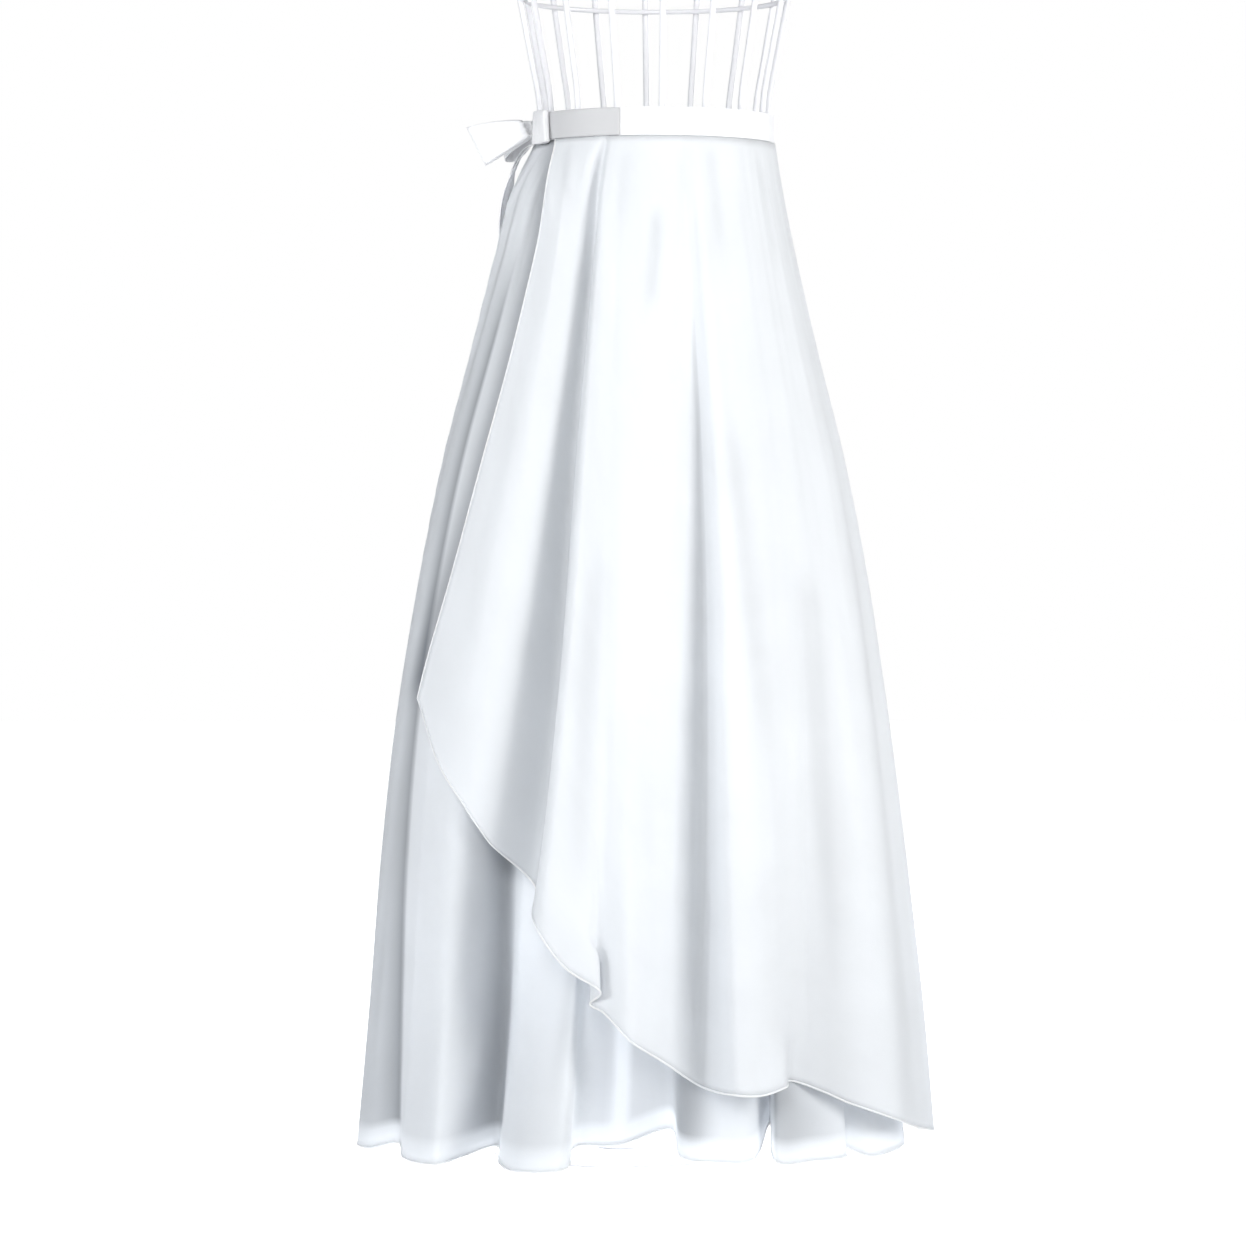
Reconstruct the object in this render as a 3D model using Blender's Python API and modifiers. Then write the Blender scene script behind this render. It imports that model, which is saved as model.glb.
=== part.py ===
"""A full-length wrap ballet skirt, tied at the hip, on a wire dress form with a pole and a round base.

Metres, +Z up. The front faces -Y and the bow is on the -X side. The origin is the centre of the base's
underside, below the pole, and the body's own axis stands a little to the +X side of it.
The skirt is one spiral of cloth in three panels: the under front, the back, and the over front with its
swept hem. Angles round the body are in degrees from the front (-Y) towards +X.
"""

import math
from collections import namedtuple

import bmesh
import bpy
import numpy as np
from mathutils import Matrix, Vector

BODY_X = 0.035

# Sewn pieces
SEAM_GAP = 0.0003
CLOTH_WALL = 0.0012
BAND_WALL = 0.0015
BAND_BOTTOM = 1.008
BAND_HEIGHT = 0.028
BAND_TOP = BAND_BOTTOM + BAND_HEIGHT
BAND_HALF_WIDTH = 0.121
BAND_HALF_DEPTH = 0.095
BAND_LAYER_STEP = 0.002
BAND_UNDER_END = 75.0
BAND_OVER_END = -66.0
BAND_STEP_ANGLE = 6.0
SKIRT_TOP = BAND_BOTTOM - SEAM_GAP

# Tie and bow
KNOT_ANGLE = -66.5
KNOT_WIDTH = 0.019
KNOT_HEIGHT = 0.033
KNOT_DEPTH = 0.009
KNOT_TAPER = 0.78
KNOT_SAG = 0.001
KNOT_BEVEL = 0.003
TIE_WALL = 0.0012
TIE_WIDTH = 0.027
TIE_FRONT_START = -16.3
TIE_FRONT_END = -61.8
TIE_FRONT_COLUMNS = 9
TIE_FRONT_GAP = 0.0004
TAIL_DROP = 0.0042
TAIL_SLANT = 0.004
TAIL_TURN_RADIUS = 0.16

# Dress form
WIRE_RADIUS = 0.003
RING_RADIUS = 0.0025
WIRE_COUNT = 16
WIRE_TURN = 3.5
NECK_CAP_RADIUS = 0.058
NECK_CAP_HEIGHT = 0.016
NECK_CAP_CROWN = 0.002
NECK_CAP_SHOULDER = 0.007
NECK_CAP_CURL = 0.004
ARM_WIDTH = 0.014
ARM_HEIGHT = 0.004
ARM_BEVEL = 0.001
HUB_RADIUS = 0.030
HUB_HEIGHT = 0.012
HUB_RIM = 0.004
POLE_RADIUS = 0.012
POLE_SIDES = 24
BASE_RADIUS = 0.125
BASE_HEIGHT = 0.006
BASE_BEVEL = 0.002
FOOT_COLLAR_RADIUS = 0.022
FOOT_COLLAR_TOP_RADIUS = 0.015
FOOT_COLLAR_HEIGHT = 0.018

Section = namedtuple("Section", "height left right front back")
SKIRT_OUTLINE = (
    Section(0.010, 0.299, 0.280, 0.272, 0.290),
    Section(0.150, 0.287, 0.268, 0.256, 0.274),
    Section(0.300, 0.276, 0.251, 0.236, 0.257),
    Section(0.450, 0.260, 0.232, 0.214, 0.235),
    Section(0.600, 0.235, 0.209, 0.189, 0.208),
    Section(0.700, 0.214, 0.189, 0.166, 0.186),
    Section(0.800, 0.188, 0.164, 0.143, 0.160),
    Section(0.900, 0.163, 0.141, 0.122, 0.132),
    Section(0.960, 0.147, 0.129, 0.108, 0.112),
    Section(1.010, 0.121, 0.121, 0.095, 0.095),
)
FORM_OUTLINE = (
    Section(0.876, 0.1352, 0.1352, 0.1042, 0.1112),
    Section(0.940, 0.1275, 0.1275, 0.0980, 0.1030),
    Section(1.000, 0.1172, 0.1172, 0.0912, 0.0912),
    Section(1.045, 0.1172, 0.1172, 0.0912, 0.0912),
    Section(1.100, 0.1270, 0.1270, 0.1010, 0.0950),
    Section(1.153, 0.1370, 0.1370, 0.1130, 0.1000),
    Section(1.200, 0.1460, 0.1460, 0.1280, 0.1030),
    Section(1.240, 0.1530, 0.1530, 0.1370, 0.1050),
    Section(1.280, 0.1580, 0.1580, 0.1350, 0.1050),
    Section(1.315, 0.1600, 0.1600, 0.1240, 0.1040),
    Section(1.350, 0.1570, 0.1570, 0.1110, 0.1010),
    Section(1.390, 0.1420, 0.1420, 0.0940, 0.0940),
    Section(1.425, 0.1100, 0.1100, 0.0760, 0.0790),
    Section(1.455, 0.0660, 0.0660, 0.0600, 0.0610),
    Section(1.478, 0.0565, 0.0565, 0.0555, 0.0555),
    Section(1.497, 0.0560, 0.0560, 0.0550, 0.0550),
)
FORM_RINGS = (("form_ring_hip", 0.881), ("form_ring_rib", 1.153), ("form_ring_chest", 1.315))

# Each row is one fold line of the cloth, in the order in which it wraps. waist, mid and hem are its angles
# at the band, half way down and at its own hem; pinch is how far it turns towards the knot at the band; hip,
# mid_in and hem_in are how far it lies inside the outline there; cut is the height of its hem.
Fold = namedtuple("Fold", "waist mid hem pinch hip mid_in hem_in cut")
UNDER_FOLDS = (
    Fold(84, 84, 84, 0, 0.001, 0.016, 0.028, 0.012),
    Fold(74, 74, 71, 0, 0.001, 0.017, 0.028, 0.012),
    Fold(64, 64, 57, 0, 0.001, 0.018, 0.030, 0.012),
    Fold(57, 57, 54, 0, 0.001, 0.020, 0.050, 0.020),
    Fold(51, 50, 50, 0, 0.001, 0.020, 0.036, 0.014),
    Fold(42, 40, 38, 0, 0.001, 0.022, 0.036, 0.013),
    Fold(35, 33, 29.5, 0, 0.001, 0.024, 0.042, 0.014),
    Fold(30, 29, 36.5, 0, 0.001, 0.026, 0.088, 0.045),
    Fold(24, 23, 24.5, 0, 0.002, 0.030, 0.052, 0.016),
    Fold(16, 15, 15, 0, 0.002, 0.052, 0.062, 0.014),
    Fold(10, 9, 7, 0, 0.002, 0.054, 0.072, 0.018),
    Fold(4, 3, 5, 0, 0.002, 0.046, 0.104, 0.042),
    Fold(-4, -5, -11, 0, 0.002, 0.032, 0.108, 0.026),
    Fold(-11, -13, -23, 0, 0.003, 0.034, 0.104, 0.024),
    Fold(-15, -20, -17, 0, 0.006, 0.056, -0.004, 0.014),
    Fold(-20, -28.5, -25, 0, 0.012, 0.063, -0.008, 0.011),
    Fold(-25, -38, -33, 0, 0.014, 0.063, 0.024, 0.013),
    Fold(-31, -44, -46, 0, 0.012, 0.052, 0.082, 0.022),
    Fold(-37, -43.5, -46, 0, 0.006, 0.030, 0.041, 0.016),
    Fold(-44, -47.5, -45, 3, 0.003, 0.010, -0.001, 0.011),
    Fold(-51, -58, -57.5, 6, 0.002, 0.007, 0.007, 0.012),
    Fold(-59, -68.5, -65, 7, 0.007, 0.007, 0.020, 0.022),
    Fold(-66, -73.5, -71.5, 6, 0.001, 0.001, 0.002, 0.015),
    Fold(-73, -80, -84, 3, 0.006, 0.000, 0.000, 0.013),
)
LEFT_SEAM = Fold(-80, -87, -92, 0, 0.002, 0.004, 0.011, 0.013)
BACK_FOLDS = (
    Fold(-89, -97, -103, -2, 0.004, 0.013, 0.032, 0.018),
    Fold(-100, -107, -113, -3, 0.000, 0.000, 0.000, 0.010),
    Fold(-114, -119, -125, 0, 0.003, 0.020, 0.046, 0.018),
    Fold(-128, -133, -137, 0, 0.000, 0.000, 0.000, 0.010),
    Fold(-143, -147, -151, 0, 0.001, 0.018, 0.052, 0.020),
    Fold(-158, -161, -163, 0, 0.000, 0.001, 0.000, 0.010),
    Fold(-172, -175, -177, 0, 0.001, 0.022, 0.056, 0.020),
    Fold(-187, -188, -188, 0, 0.000, 0.000, 0.000, 0.010),
    Fold(-202, -201, -201, 0, 0.001, 0.020, 0.048, 0.020),
    Fold(-216, -215, -213, 0, 0.000, 0.001, 0.000, 0.010),
    Fold(-229, -228, -226, 0, 0.001, 0.016, 0.044, 0.018),
    Fold(-242, -241, -239, 0, 0.000, 0.000, 0.000, 0.012),
    Fold(-253, -252, -251, 0, 0.001, 0.008, 0.020, 0.018),
)
RIGHT_SEAM = Fold(-263, -263, -263, 0, 0.000, 0.000, 0.002, 0.020)
OVER_FOLDS = (
    Fold(-274, -274, -274, 0, 0.000, 0.000, 0.000, 0.025),
    Fold(-284, -286, -288, 0, 0.000, 0.004, 0.008, 0.035),
    Fold(-294, -297, -303, 0, 0.000, 0.000, 0.000, 0.050),
    Fold(-302, -307, -314, 0, 0.000, 0.005, 0.020, 0.069),
    Fold(-309, -316, -321, 0, 0.000, 0.006, 0.030, 0.083),
    Fold(-316, -323, -326.5, 0, 0.000, 0.008, 0.038, 0.091),
    Fold(-322, -329.5, -333, 0, 0.000, 0.000, 0.002, 0.089),
    Fold(-335, -337, -338, 0, 0.000, -0.002, 0.004, 0.082),
    Fold(-340.5, -343, -343.5, 0, 0.000, 0.003, 0.005, 0.083),
    Fold(-345.5, -345.5, -348.5, 0, 0.002, 0.032, 0.050, 0.087),
    Fold(-350, -355.5, -358.5, 0, 0.001, 0.017, 0.034, 0.113),
    Fold(-361, -364.5, -365, 0, 0.000, 0.002, 0.012, 0.134),
    Fold(-366.5, -368, -370.3, 0, 0.000, 0.000, 0.021, 0.158),
    Fold(-369.5, -370.5, -374.0, 0, 0.000, 0.001, 0.027, 0.167),
    Fold(-372, -372.7, -371.0, 0, 0.000, 0.000, 0.007, 0.181),
    Fold(-376, -374, -378, 0, 0.000, 0.000, -0.002, 0.205),
    Fold(-380.5, -379.5, -384, 0, 0.000, 0.001, -0.002, 0.243),
    Fold(-383.5, -386.5, -393.5, 0, 0.011, 0.040, 0.064, 0.278),
    Fold(-387.5, -391, -399.5, 0, 0.003, 0.011, 0.023, 0.318),
    Fold(-394, -398, -404.5, 0, 0.000, 0.001, 0.006, 0.356),
    Fold(-399, -405, -414, -5, 0.000, 0.000, 0.000, 0.405),
    Fold(-402, -413.5, -424, -11, 0.000, -0.001, 0.000, 0.458),
)
WRAP_FOLDS = (*UNDER_FOLDS, LEFT_SEAM, *BACK_FOLDS, RIGHT_SEAM, *OVER_FOLDS)
LEFT_SEAM_AT = len(UNDER_FOLDS)
RIGHT_SEAM_AT = LEFT_SEAM_AT + 1 + len(BACK_FOLDS)
FREE_EDGE_AT = len(WRAP_FOLDS) - 1

HIP_DROP = 0.08
PINCH_DROP = 0.035
SEAM_HALF_GAP = 0.0003

Panel = namedtuple("Panel", "name start end rows")
PANELS = (
    Panel("under_front", 0, LEFT_SEAM_AT, 12),
    Panel("back_panel", LEFT_SEAM_AT, RIGHT_SEAM_AT, 11),
    Panel("over_front", RIGHT_SEAM_AT, FREE_EDGE_AT, 14),
)
COLUMNS_PER_FOLD = 3
ROW_CLOSING = 1.3


def clear_scene():
    for obj in list(bpy.data.objects):
        bpy.data.objects.remove(obj)


def new_collection(name):
    collection = bpy.data.collections.new(name)
    bpy.context.scene.collection.children.link(collection)
    return collection


def new_material(name, colour, roughness, metallic):
    material = bpy.data.materials.new(name)
    material.use_nodes = True
    shader = material.node_tree.nodes["Principled BSDF"]
    shader.inputs["Base Color"].default_value = (*colour, 1.0)
    shader.inputs["Roughness"].default_value = roughness
    shader.inputs["Metallic"].default_value = metallic
    return material


def smooth_value(x, knots, values):
    """A cubic through the knots, whose slope at each one comes from its neighbours."""
    knots = np.asarray(knots, float)
    values = np.asarray(values, float)
    slopes = np.gradient(values, knots)
    i = np.clip(np.searchsorted(knots, x, side="right") - 1, 0, len(knots) - 2)
    span = knots[i + 1] - knots[i]
    t = np.clip((x - knots[i]) / span, 0.0, 1.0)
    start = (1 + 2 * t) * (1 - t) ** 2 * values[i] + t * (1 - t) ** 2 * span * slopes[i]
    return start + t * t * (3 - 2 * t) * values[i + 1] + t * t * (t - 1) * span * slopes[i + 1]


def outline_point(outline, degrees, height, outward=0.0):
    """X and Y on an outline, moved outward along the direction of its angle."""
    heights = [row.height for row in outline]
    left, right, front, back = (
        smooth_value(height, heights, [getattr(row, side) for row in outline])
        for side in Section._fields[1:]
    )
    across = np.sin(np.radians(degrees))
    along = -np.cos(np.radians(degrees))
    x = BODY_X + across * (np.where(across < 0, left, right) + outward)
    y = along * (np.where(along < 0, front, back) + outward)
    return x, y


def fold_point(index, height):
    """X and Y of the fold line of that index in WRAP_FOLDS, at a height."""
    fold = [np.take([getattr(row, name) for row in WRAP_FOLDS], index) for name in Fold._fields]
    waist, mid, hem, pinch, hip, mid_in, hem_in, cut = fold
    drop = SKIRT_TOP - height
    share = drop / (SKIRT_TOP - cut)
    # The angle is waist + a share + b share^3 through mid and hem, and the depth a share^1.5 + b share^4.
    turn = (hem - waist - 2 * (mid - waist)) / 0.75
    degrees = waist + (hem - waist - turn) * share + turn * share**3 + pinch * np.exp(-drop / PINCH_DROP)
    half, deep = 0.5**1.5, 0.5**4
    late = (mid_in - half * hem_in) / (deep - half)
    inward = (hem_in - late) * share**1.5 + late * share**4
    inward = inward + hip * (drop / HIP_DROP) * np.exp(1 - drop / HIP_DROP)
    return outline_point(SKIRT_OUTLINE, degrees, height, -inward - layer_depth(index))


def layer_depth(index):
    """How far the wrap lies inside its last turn: one layer at the under front, less and less behind."""
    left = np.clip((RIGHT_SEAM_AT - index) / (RIGHT_SEAM_AT - LEFT_SEAM_AT), 0.0, 1.0)
    return BAND_LAYER_STEP * left


def curve_through(points, share):
    """A centripetal Catmull-Rom curve between points[1] and points[2], each an array of X and Y rows."""
    p0, p1, p2, p3 = points
    pairs = ((p0, p1), (p1, p2), (p2, p3))
    gap = [np.maximum(np.linalg.norm(b - a, axis=-1), 1e-6) ** 0.5 for a, b in pairs]
    t0 = 0.0
    t1 = gap[0]
    t2 = t1 + gap[1]
    t3 = t2 + gap[2]
    t = t1 + share * gap[1]

    def mix(a, b, ta, tb):
        return a * ((tb - t) / (tb - ta))[..., None] + b * ((t - ta) / (tb - ta))[..., None]

    a1, a2, a3 = mix(p0, p1, t0, t1), mix(p1, p2, t1, t2), mix(p2, p3, t2, t3)
    return mix(mix(a1, a2, t0, t2), mix(a2, a3, t1, t3), t1, t2)


def wrap_point(place, height):
    """X, Y of the cloth at places counted in fold lines along the wrap, at heights."""
    first = np.clip(np.floor(place).astype(int), 0, FREE_EDGE_AT - 1)
    share = place - first
    near = [fold_point(np.clip(first + k, 0, FREE_EDGE_AT), height) for k in (-1, 0, 1, 2)]
    p0, p1, p2, p3 = (np.stack(xy, axis=-1) for xy in near)
    p0 = np.where((first == 0)[..., None], 2 * p1 - p2, p0)
    p3 = np.where((first == FREE_EDGE_AT - 1)[..., None], 2 * p2 - p1, p3)
    return curve_through((p0, p1, p2, p3), share)


def cut_height(place):
    cuts = [row.cut for row in WRAP_FOLDS]
    return smooth_value(place, np.arange(len(cuts)), cuts)


def panel_grid(panel):
    """Rows of points from the band down to the cut hem, the columns in the order of the wrap."""
    place = np.linspace(panel.start, panel.end, (panel.end - panel.start) * COLUMNS_PER_FOLD + 1)
    down = 1.0 - np.linspace(1.0, 0.0, panel.rows)[:, None] ** ROW_CLOSING
    height = SKIRT_TOP + (cut_height(place)[None, :] - SKIRT_TOP) * down
    place = np.repeat(place[None, :], panel.rows, axis=0)
    for column, seam, side in ((0, panel.start, 1), (-1, panel.end, -1)):
        if seam in (LEFT_SEAM_AT, RIGHT_SEAM_AT):
            edge, beside = (np.stack(fold_point(seam + step, height[:, column]), -1) for step in (0, side))
            place[:, column] += side * SEAM_HALF_GAP / np.linalg.norm(beside - edge, axis=-1)
    xy = wrap_point(place, height)
    return np.concatenate([xy, height[..., None]], axis=-1)


def sheet_object(name, grid, wall, material, collection, outward_sign=-1.0):
    """An open sheet through a grid of points, with Solidify giving it its wall."""
    rows, columns = grid.shape[:2]
    faces = [
        (r * columns + c, r * columns + c + 1, (r + 1) * columns + c + 1, (r + 1) * columns + c)
        for r in range(rows - 1)
        for c in range(columns - 1)
    ]
    mesh = bpy.data.meshes.new(name)
    mesh.from_pydata(grid.reshape(-1, 3).tolist(), [], faces)
    mesh.materials.append(material)
    mesh.shade_smooth()
    obj = bpy.data.objects.new(name, mesh)
    collection.objects.link(obj)
    solidify = obj.modifiers.new("wall", "SOLIDIFY")
    solidify.thickness = wall
    solidify.offset = outward_sign
    solidify.use_quality_normals = True
    return obj


def make_panels(material, collection):
    for panel in PANELS:
        sheet_object(panel.name, panel_grid(panel), CLOTH_WALL, material, collection)


def band_point(degrees, outward):
    x = BODY_X + np.sin(np.radians(degrees)) * (BAND_HALF_WIDTH + outward)
    y = -np.cos(np.radians(degrees)) * (BAND_HALF_DEPTH + outward)
    return x, y


def band_strip(degrees, outward, low, high):
    """Two rows of points, top and bottom, along the waist."""
    x, y = band_point(degrees, outward)
    rows = [np.stack([x, y, np.full_like(x, z)], axis=-1) for z in (high, low)]
    return np.stack(rows)


def make_waistband(material, collection):
    """One strip that starts under the front, goes round behind, and ends over its own start at the knot."""
    sweep = BAND_UNDER_END - (BAND_OVER_END - 360.0)
    steps = int(round(sweep / BAND_STEP_ANGLE))
    degrees = BAND_UNDER_END - BAND_STEP_ANGLE * np.arange(steps + 1)
    degrees[-1] = BAND_OVER_END - 360.0
    rise = np.clip((BAND_OVER_END - degrees) / (BAND_OVER_END - (BAND_UNDER_END - 360.0)), 0.0, 1.0)
    outward = -BAND_LAYER_STEP * (1.0 - rise)
    strip = band_strip(degrees, outward, BAND_BOTTOM, BAND_TOP)
    sheet_object("waistband", strip, BAND_WALL, material, collection)


def make_tie_front(material, collection):
    """The tie lies on the band from its slit to the knot."""
    degrees = np.linspace(TIE_FRONT_START, TIE_FRONT_END, TIE_FRONT_COLUMNS)
    outward = np.full_like(degrees, TIE_WALL + TIE_FRONT_GAP)
    middle = BAND_BOTTOM + BAND_HEIGHT / 2
    strip = band_strip(degrees, outward, middle - TIE_WIDTH / 2, middle + TIE_WIDTH / 2)
    sheet_object("tie_front", strip, TIE_WALL, material, collection)


def knot_frame():
    """The knot's middle, and unit vectors out from the body and back along the band."""
    x, y = band_point(KNOT_ANGLE, SEAM_GAP + KNOT_DEPTH / 2)
    out = Vector((math.sin(math.radians(KNOT_ANGLE)) / BAND_HALF_WIDTH,
                  -math.cos(math.radians(KNOT_ANGLE)) / BAND_HALF_DEPTH, 0.0)).normalized()
    rearward = Vector((out.y, -out.x, 0.0))
    return Vector((float(x), float(y), BAND_BOTTOM + BAND_HEIGHT / 2 - KNOT_SAG)), out, rearward


def make_knot(material, collection):
    centre, out, rearward = knot_frame()
    mesh = bpy.data.meshes.new("bow_knot")
    shape = bmesh.new()
    bmesh.ops.create_cube(shape, size=1.0)
    for vertex in shape.verts:
        taper = KNOT_TAPER if vertex.co.z > 0 else 1.0
        vertex.co.x *= KNOT_WIDTH * taper
        vertex.co.y *= KNOT_DEPTH
        vertex.co.z *= KNOT_HEIGHT
    shape.to_mesh(mesh)
    shape.free()
    mesh.materials.append(material)
    mesh.shade_smooth()
    obj = bpy.data.objects.new("bow_knot", mesh)
    collection.objects.link(obj)
    turn = Matrix((rearward, out, Vector((0.0, 0.0, 1.0)))).transposed()
    obj.location = centre
    obj.rotation_euler = turn.to_euler()
    bevel = obj.modifiers.new("soft edges", "BEVEL")
    bevel.width = KNOT_BEVEL
    bevel.segments = 2


Loop = namedtuple("Loop", "name reach gape droop lean wide narrow aim_x aim_y root_rear root_out")
LOOPS = (
    Loop("bow_loop_left", 0.050, 0.0170, 0.018, -0.50, 0.042, 0.018, -1.00, 0.02, 0.0114, 0.0070),
    Loop("bow_loop_back", 0.048, 0.0144, 0.012, -0.20, 0.036, 0.016, -0.58, 0.81, 0.0110, -0.0010),
)
LOOP_STEPS = 17
LOOP_ROOT_GAPE = 0.12


def loop_grid(loop):
    """A ribbon that leaves the knot, turns at its far end and comes back, pinched where it is tied."""
    centre, out, rearward = knot_frame()
    aim = Vector((loop.aim_x, loop.aim_y, 0.0)).normalized()
    sideways = Vector((0.0, 0.0, 1.0)).cross(aim).normalized()
    across = (Vector((0.0, 0.0, 1.0)) - aim * loop.lean).normalized()
    root = centre + rearward * loop.root_rear + out * loop.root_out
    rows = []
    for step in range(LOOP_STEPS):
        u = step / (LOOP_STEPS - 1)
        swell = math.sin(math.pi * u)
        along = loop.reach * swell**0.85
        side = loop.gape * math.cos(math.pi * u) * (LOOP_ROOT_GAPE + swell)
        half = (loop.narrow + (loop.wide - loop.narrow) * swell**0.7) / 2
        point = root + aim * along + sideways * side - Vector((0.0, 0.0, loop.droop * swell))
        rows.append([point + across * half, point - across * half])
    return np.array([[tuple(p) for p in row] for row in rows]).transpose(1, 0, 2)


def make_loops(material, collection):
    for loop in LOOPS:
        sheet_object(loop.name, loop_grid(loop), TIE_WALL, material, collection)


Tail = namedtuple("Tail", "name start end length lift_knot lift_hip")
TAILS = (
    Tail("tie_tail_side", -70.5, -134.0, 0.225, 0.0035, 0.0045),
    Tail("tie_tail_back", -69.0, -150.0, 0.190, 0.0066, 0.0080),
)
TAIL_ROWS = 10


def tail_grid(tail):
    """A ribbon end that comes out under the knot and hangs over the hip, outside the cloth."""
    rows = []
    for step in range(TAIL_ROWS):
        down = (step / (TAIL_ROWS - 1)) ** 1.5
        height = BAND_BOTTOM - TAIL_DROP - tail.length * down
        middle = tail.start + (tail.end - tail.start) * down**0.45
        spread = min(1.0, 3 * down)
        half = math.degrees(TIE_WIDTH / 2 / TAIL_TURN_RADIUS) * (0.5 + 0.5 * spread)
        lift = tail.lift_knot + (tail.lift_hip - tail.lift_knot) * spread
        row = []
        for side in (-1.0, 1.0):
            x, y = outline_point(SKIRT_OUTLINE, middle + side * half, height, lift)
            row.append((float(x), float(y), height + side * TAIL_SLANT * spread))
        rows.append(row)
    return np.array(rows)


def make_tails(material, collection):
    for tail in TAILS:
        sheet_object(tail.name, tail_grid(tail)[:, ::-1], TIE_WALL, material, collection, 1.0)


def tube_object(name, points, radius, cyclic, material, collection):
    curve = bpy.data.curves.new(name, "CURVE")
    curve.dimensions = "3D"
    curve.bevel_depth = radius
    curve.bevel_resolution = 2
    curve.use_fill_caps = True
    spline = curve.splines.new("POLY")
    spline.points.add(len(points) - 1)
    for point, place in zip(spline.points, points):
        point.co = (*place, 1.0)
    spline.use_cyclic_u = cyclic
    curve.materials.append(material)
    obj = bpy.data.objects.new(name, curve)
    collection.objects.link(obj)
    return obj


def form_point(degrees, height, inward):
    x, y = outline_point(FORM_OUTLINE, degrees, height, -inward)
    return (float(x), float(y), height)


def make_wires(material, collection):
    for number in range(WIRE_COUNT):
        degrees = WIRE_TURN + number * 360.0 / WIRE_COUNT
        points = [form_point(degrees, row.height, WIRE_RADIUS) for row in FORM_OUTLINE]
        tube_object(f"form_wire_{number + 1:02d}", points, WIRE_RADIUS, False, material, collection)


def make_rings(material, collection):
    """Hoops inside the upright wires, with a corner at each wire."""
    inward = 2 * WIRE_RADIUS + RING_RADIUS + SEAM_GAP
    for name, height in FORM_RINGS:
        corners = WIRE_TURN + np.arange(2 * WIRE_COUNT) * 180.0 / WIRE_COUNT
        points = [form_point(degrees, height, inward) for degrees in corners]
        tube_object(name, points, RING_RADIUS, True, material, collection)


def turned_object(name, profile, sides, material, collection, axis_x=0.0):
    """A profile of radius and height, top first, turned round an upright axis."""
    mesh = bpy.data.meshes.new(name)
    points = [(radius, 0.0, height) for radius, height in profile]
    mesh.from_pydata(points, [(i, i + 1) for i in range(len(points) - 1)], [])
    mesh.materials.append(material)
    obj = bpy.data.objects.new(name, mesh)
    collection.objects.link(obj)
    obj.location.x = axis_x
    screw = obj.modifiers.new("turn", "SCREW")
    screw.steps = sides
    screw.render_steps = sides
    screw.use_merge_vertices = True
    screw.merge_threshold = 0.00005
    return obj


def make_neck_cap(material, collection):
    low = FORM_OUTLINE[-1].height + 2 * SEAM_GAP
    high = low + NECK_CAP_HEIGHT
    profile = [
        (0.0, high),
        (NECK_CAP_RADIUS * 0.55, high - NECK_CAP_CROWN),
        (NECK_CAP_RADIUS * 0.92, high - NECK_CAP_SHOULDER),
        (NECK_CAP_RADIUS, low + NECK_CAP_CURL),
        (NECK_CAP_RADIUS - NECK_CAP_CURL / 2, low),
        (0.0, low),
    ]
    turned_object("form_neck_cap", profile, POLE_SIDES, material, collection, BODY_X)


def make_arm(name, start, end, top, material, collection):
    """A flat bar with its top at a height, from one point in plan to another."""
    start, end = Vector(start), Vector(end)
    run = (end - start).normalized()
    mesh = bpy.data.meshes.new(name)
    shape = bmesh.new()
    bmesh.ops.create_cube(shape, size=1.0)
    for vertex in shape.verts:
        along, aside, up = vertex.co
        place = (start + end) / 2 + run * along * (end - start).length + run.orthogonal() * aside * ARM_WIDTH
        vertex.co = Vector((place.x, place.y, top + (up - 0.5) * ARM_HEIGHT))
    bmesh.ops.recalc_face_normals(shape, faces=shape.faces)
    shape.to_mesh(mesh)
    shape.free()
    mesh.materials.append(material)
    obj = bpy.data.objects.new(name, mesh)
    collection.objects.link(obj)
    bevel = obj.modifiers.new("soft edges", "BEVEL")
    bevel.width = ARM_BEVEL
    bevel.segments = 1


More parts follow.
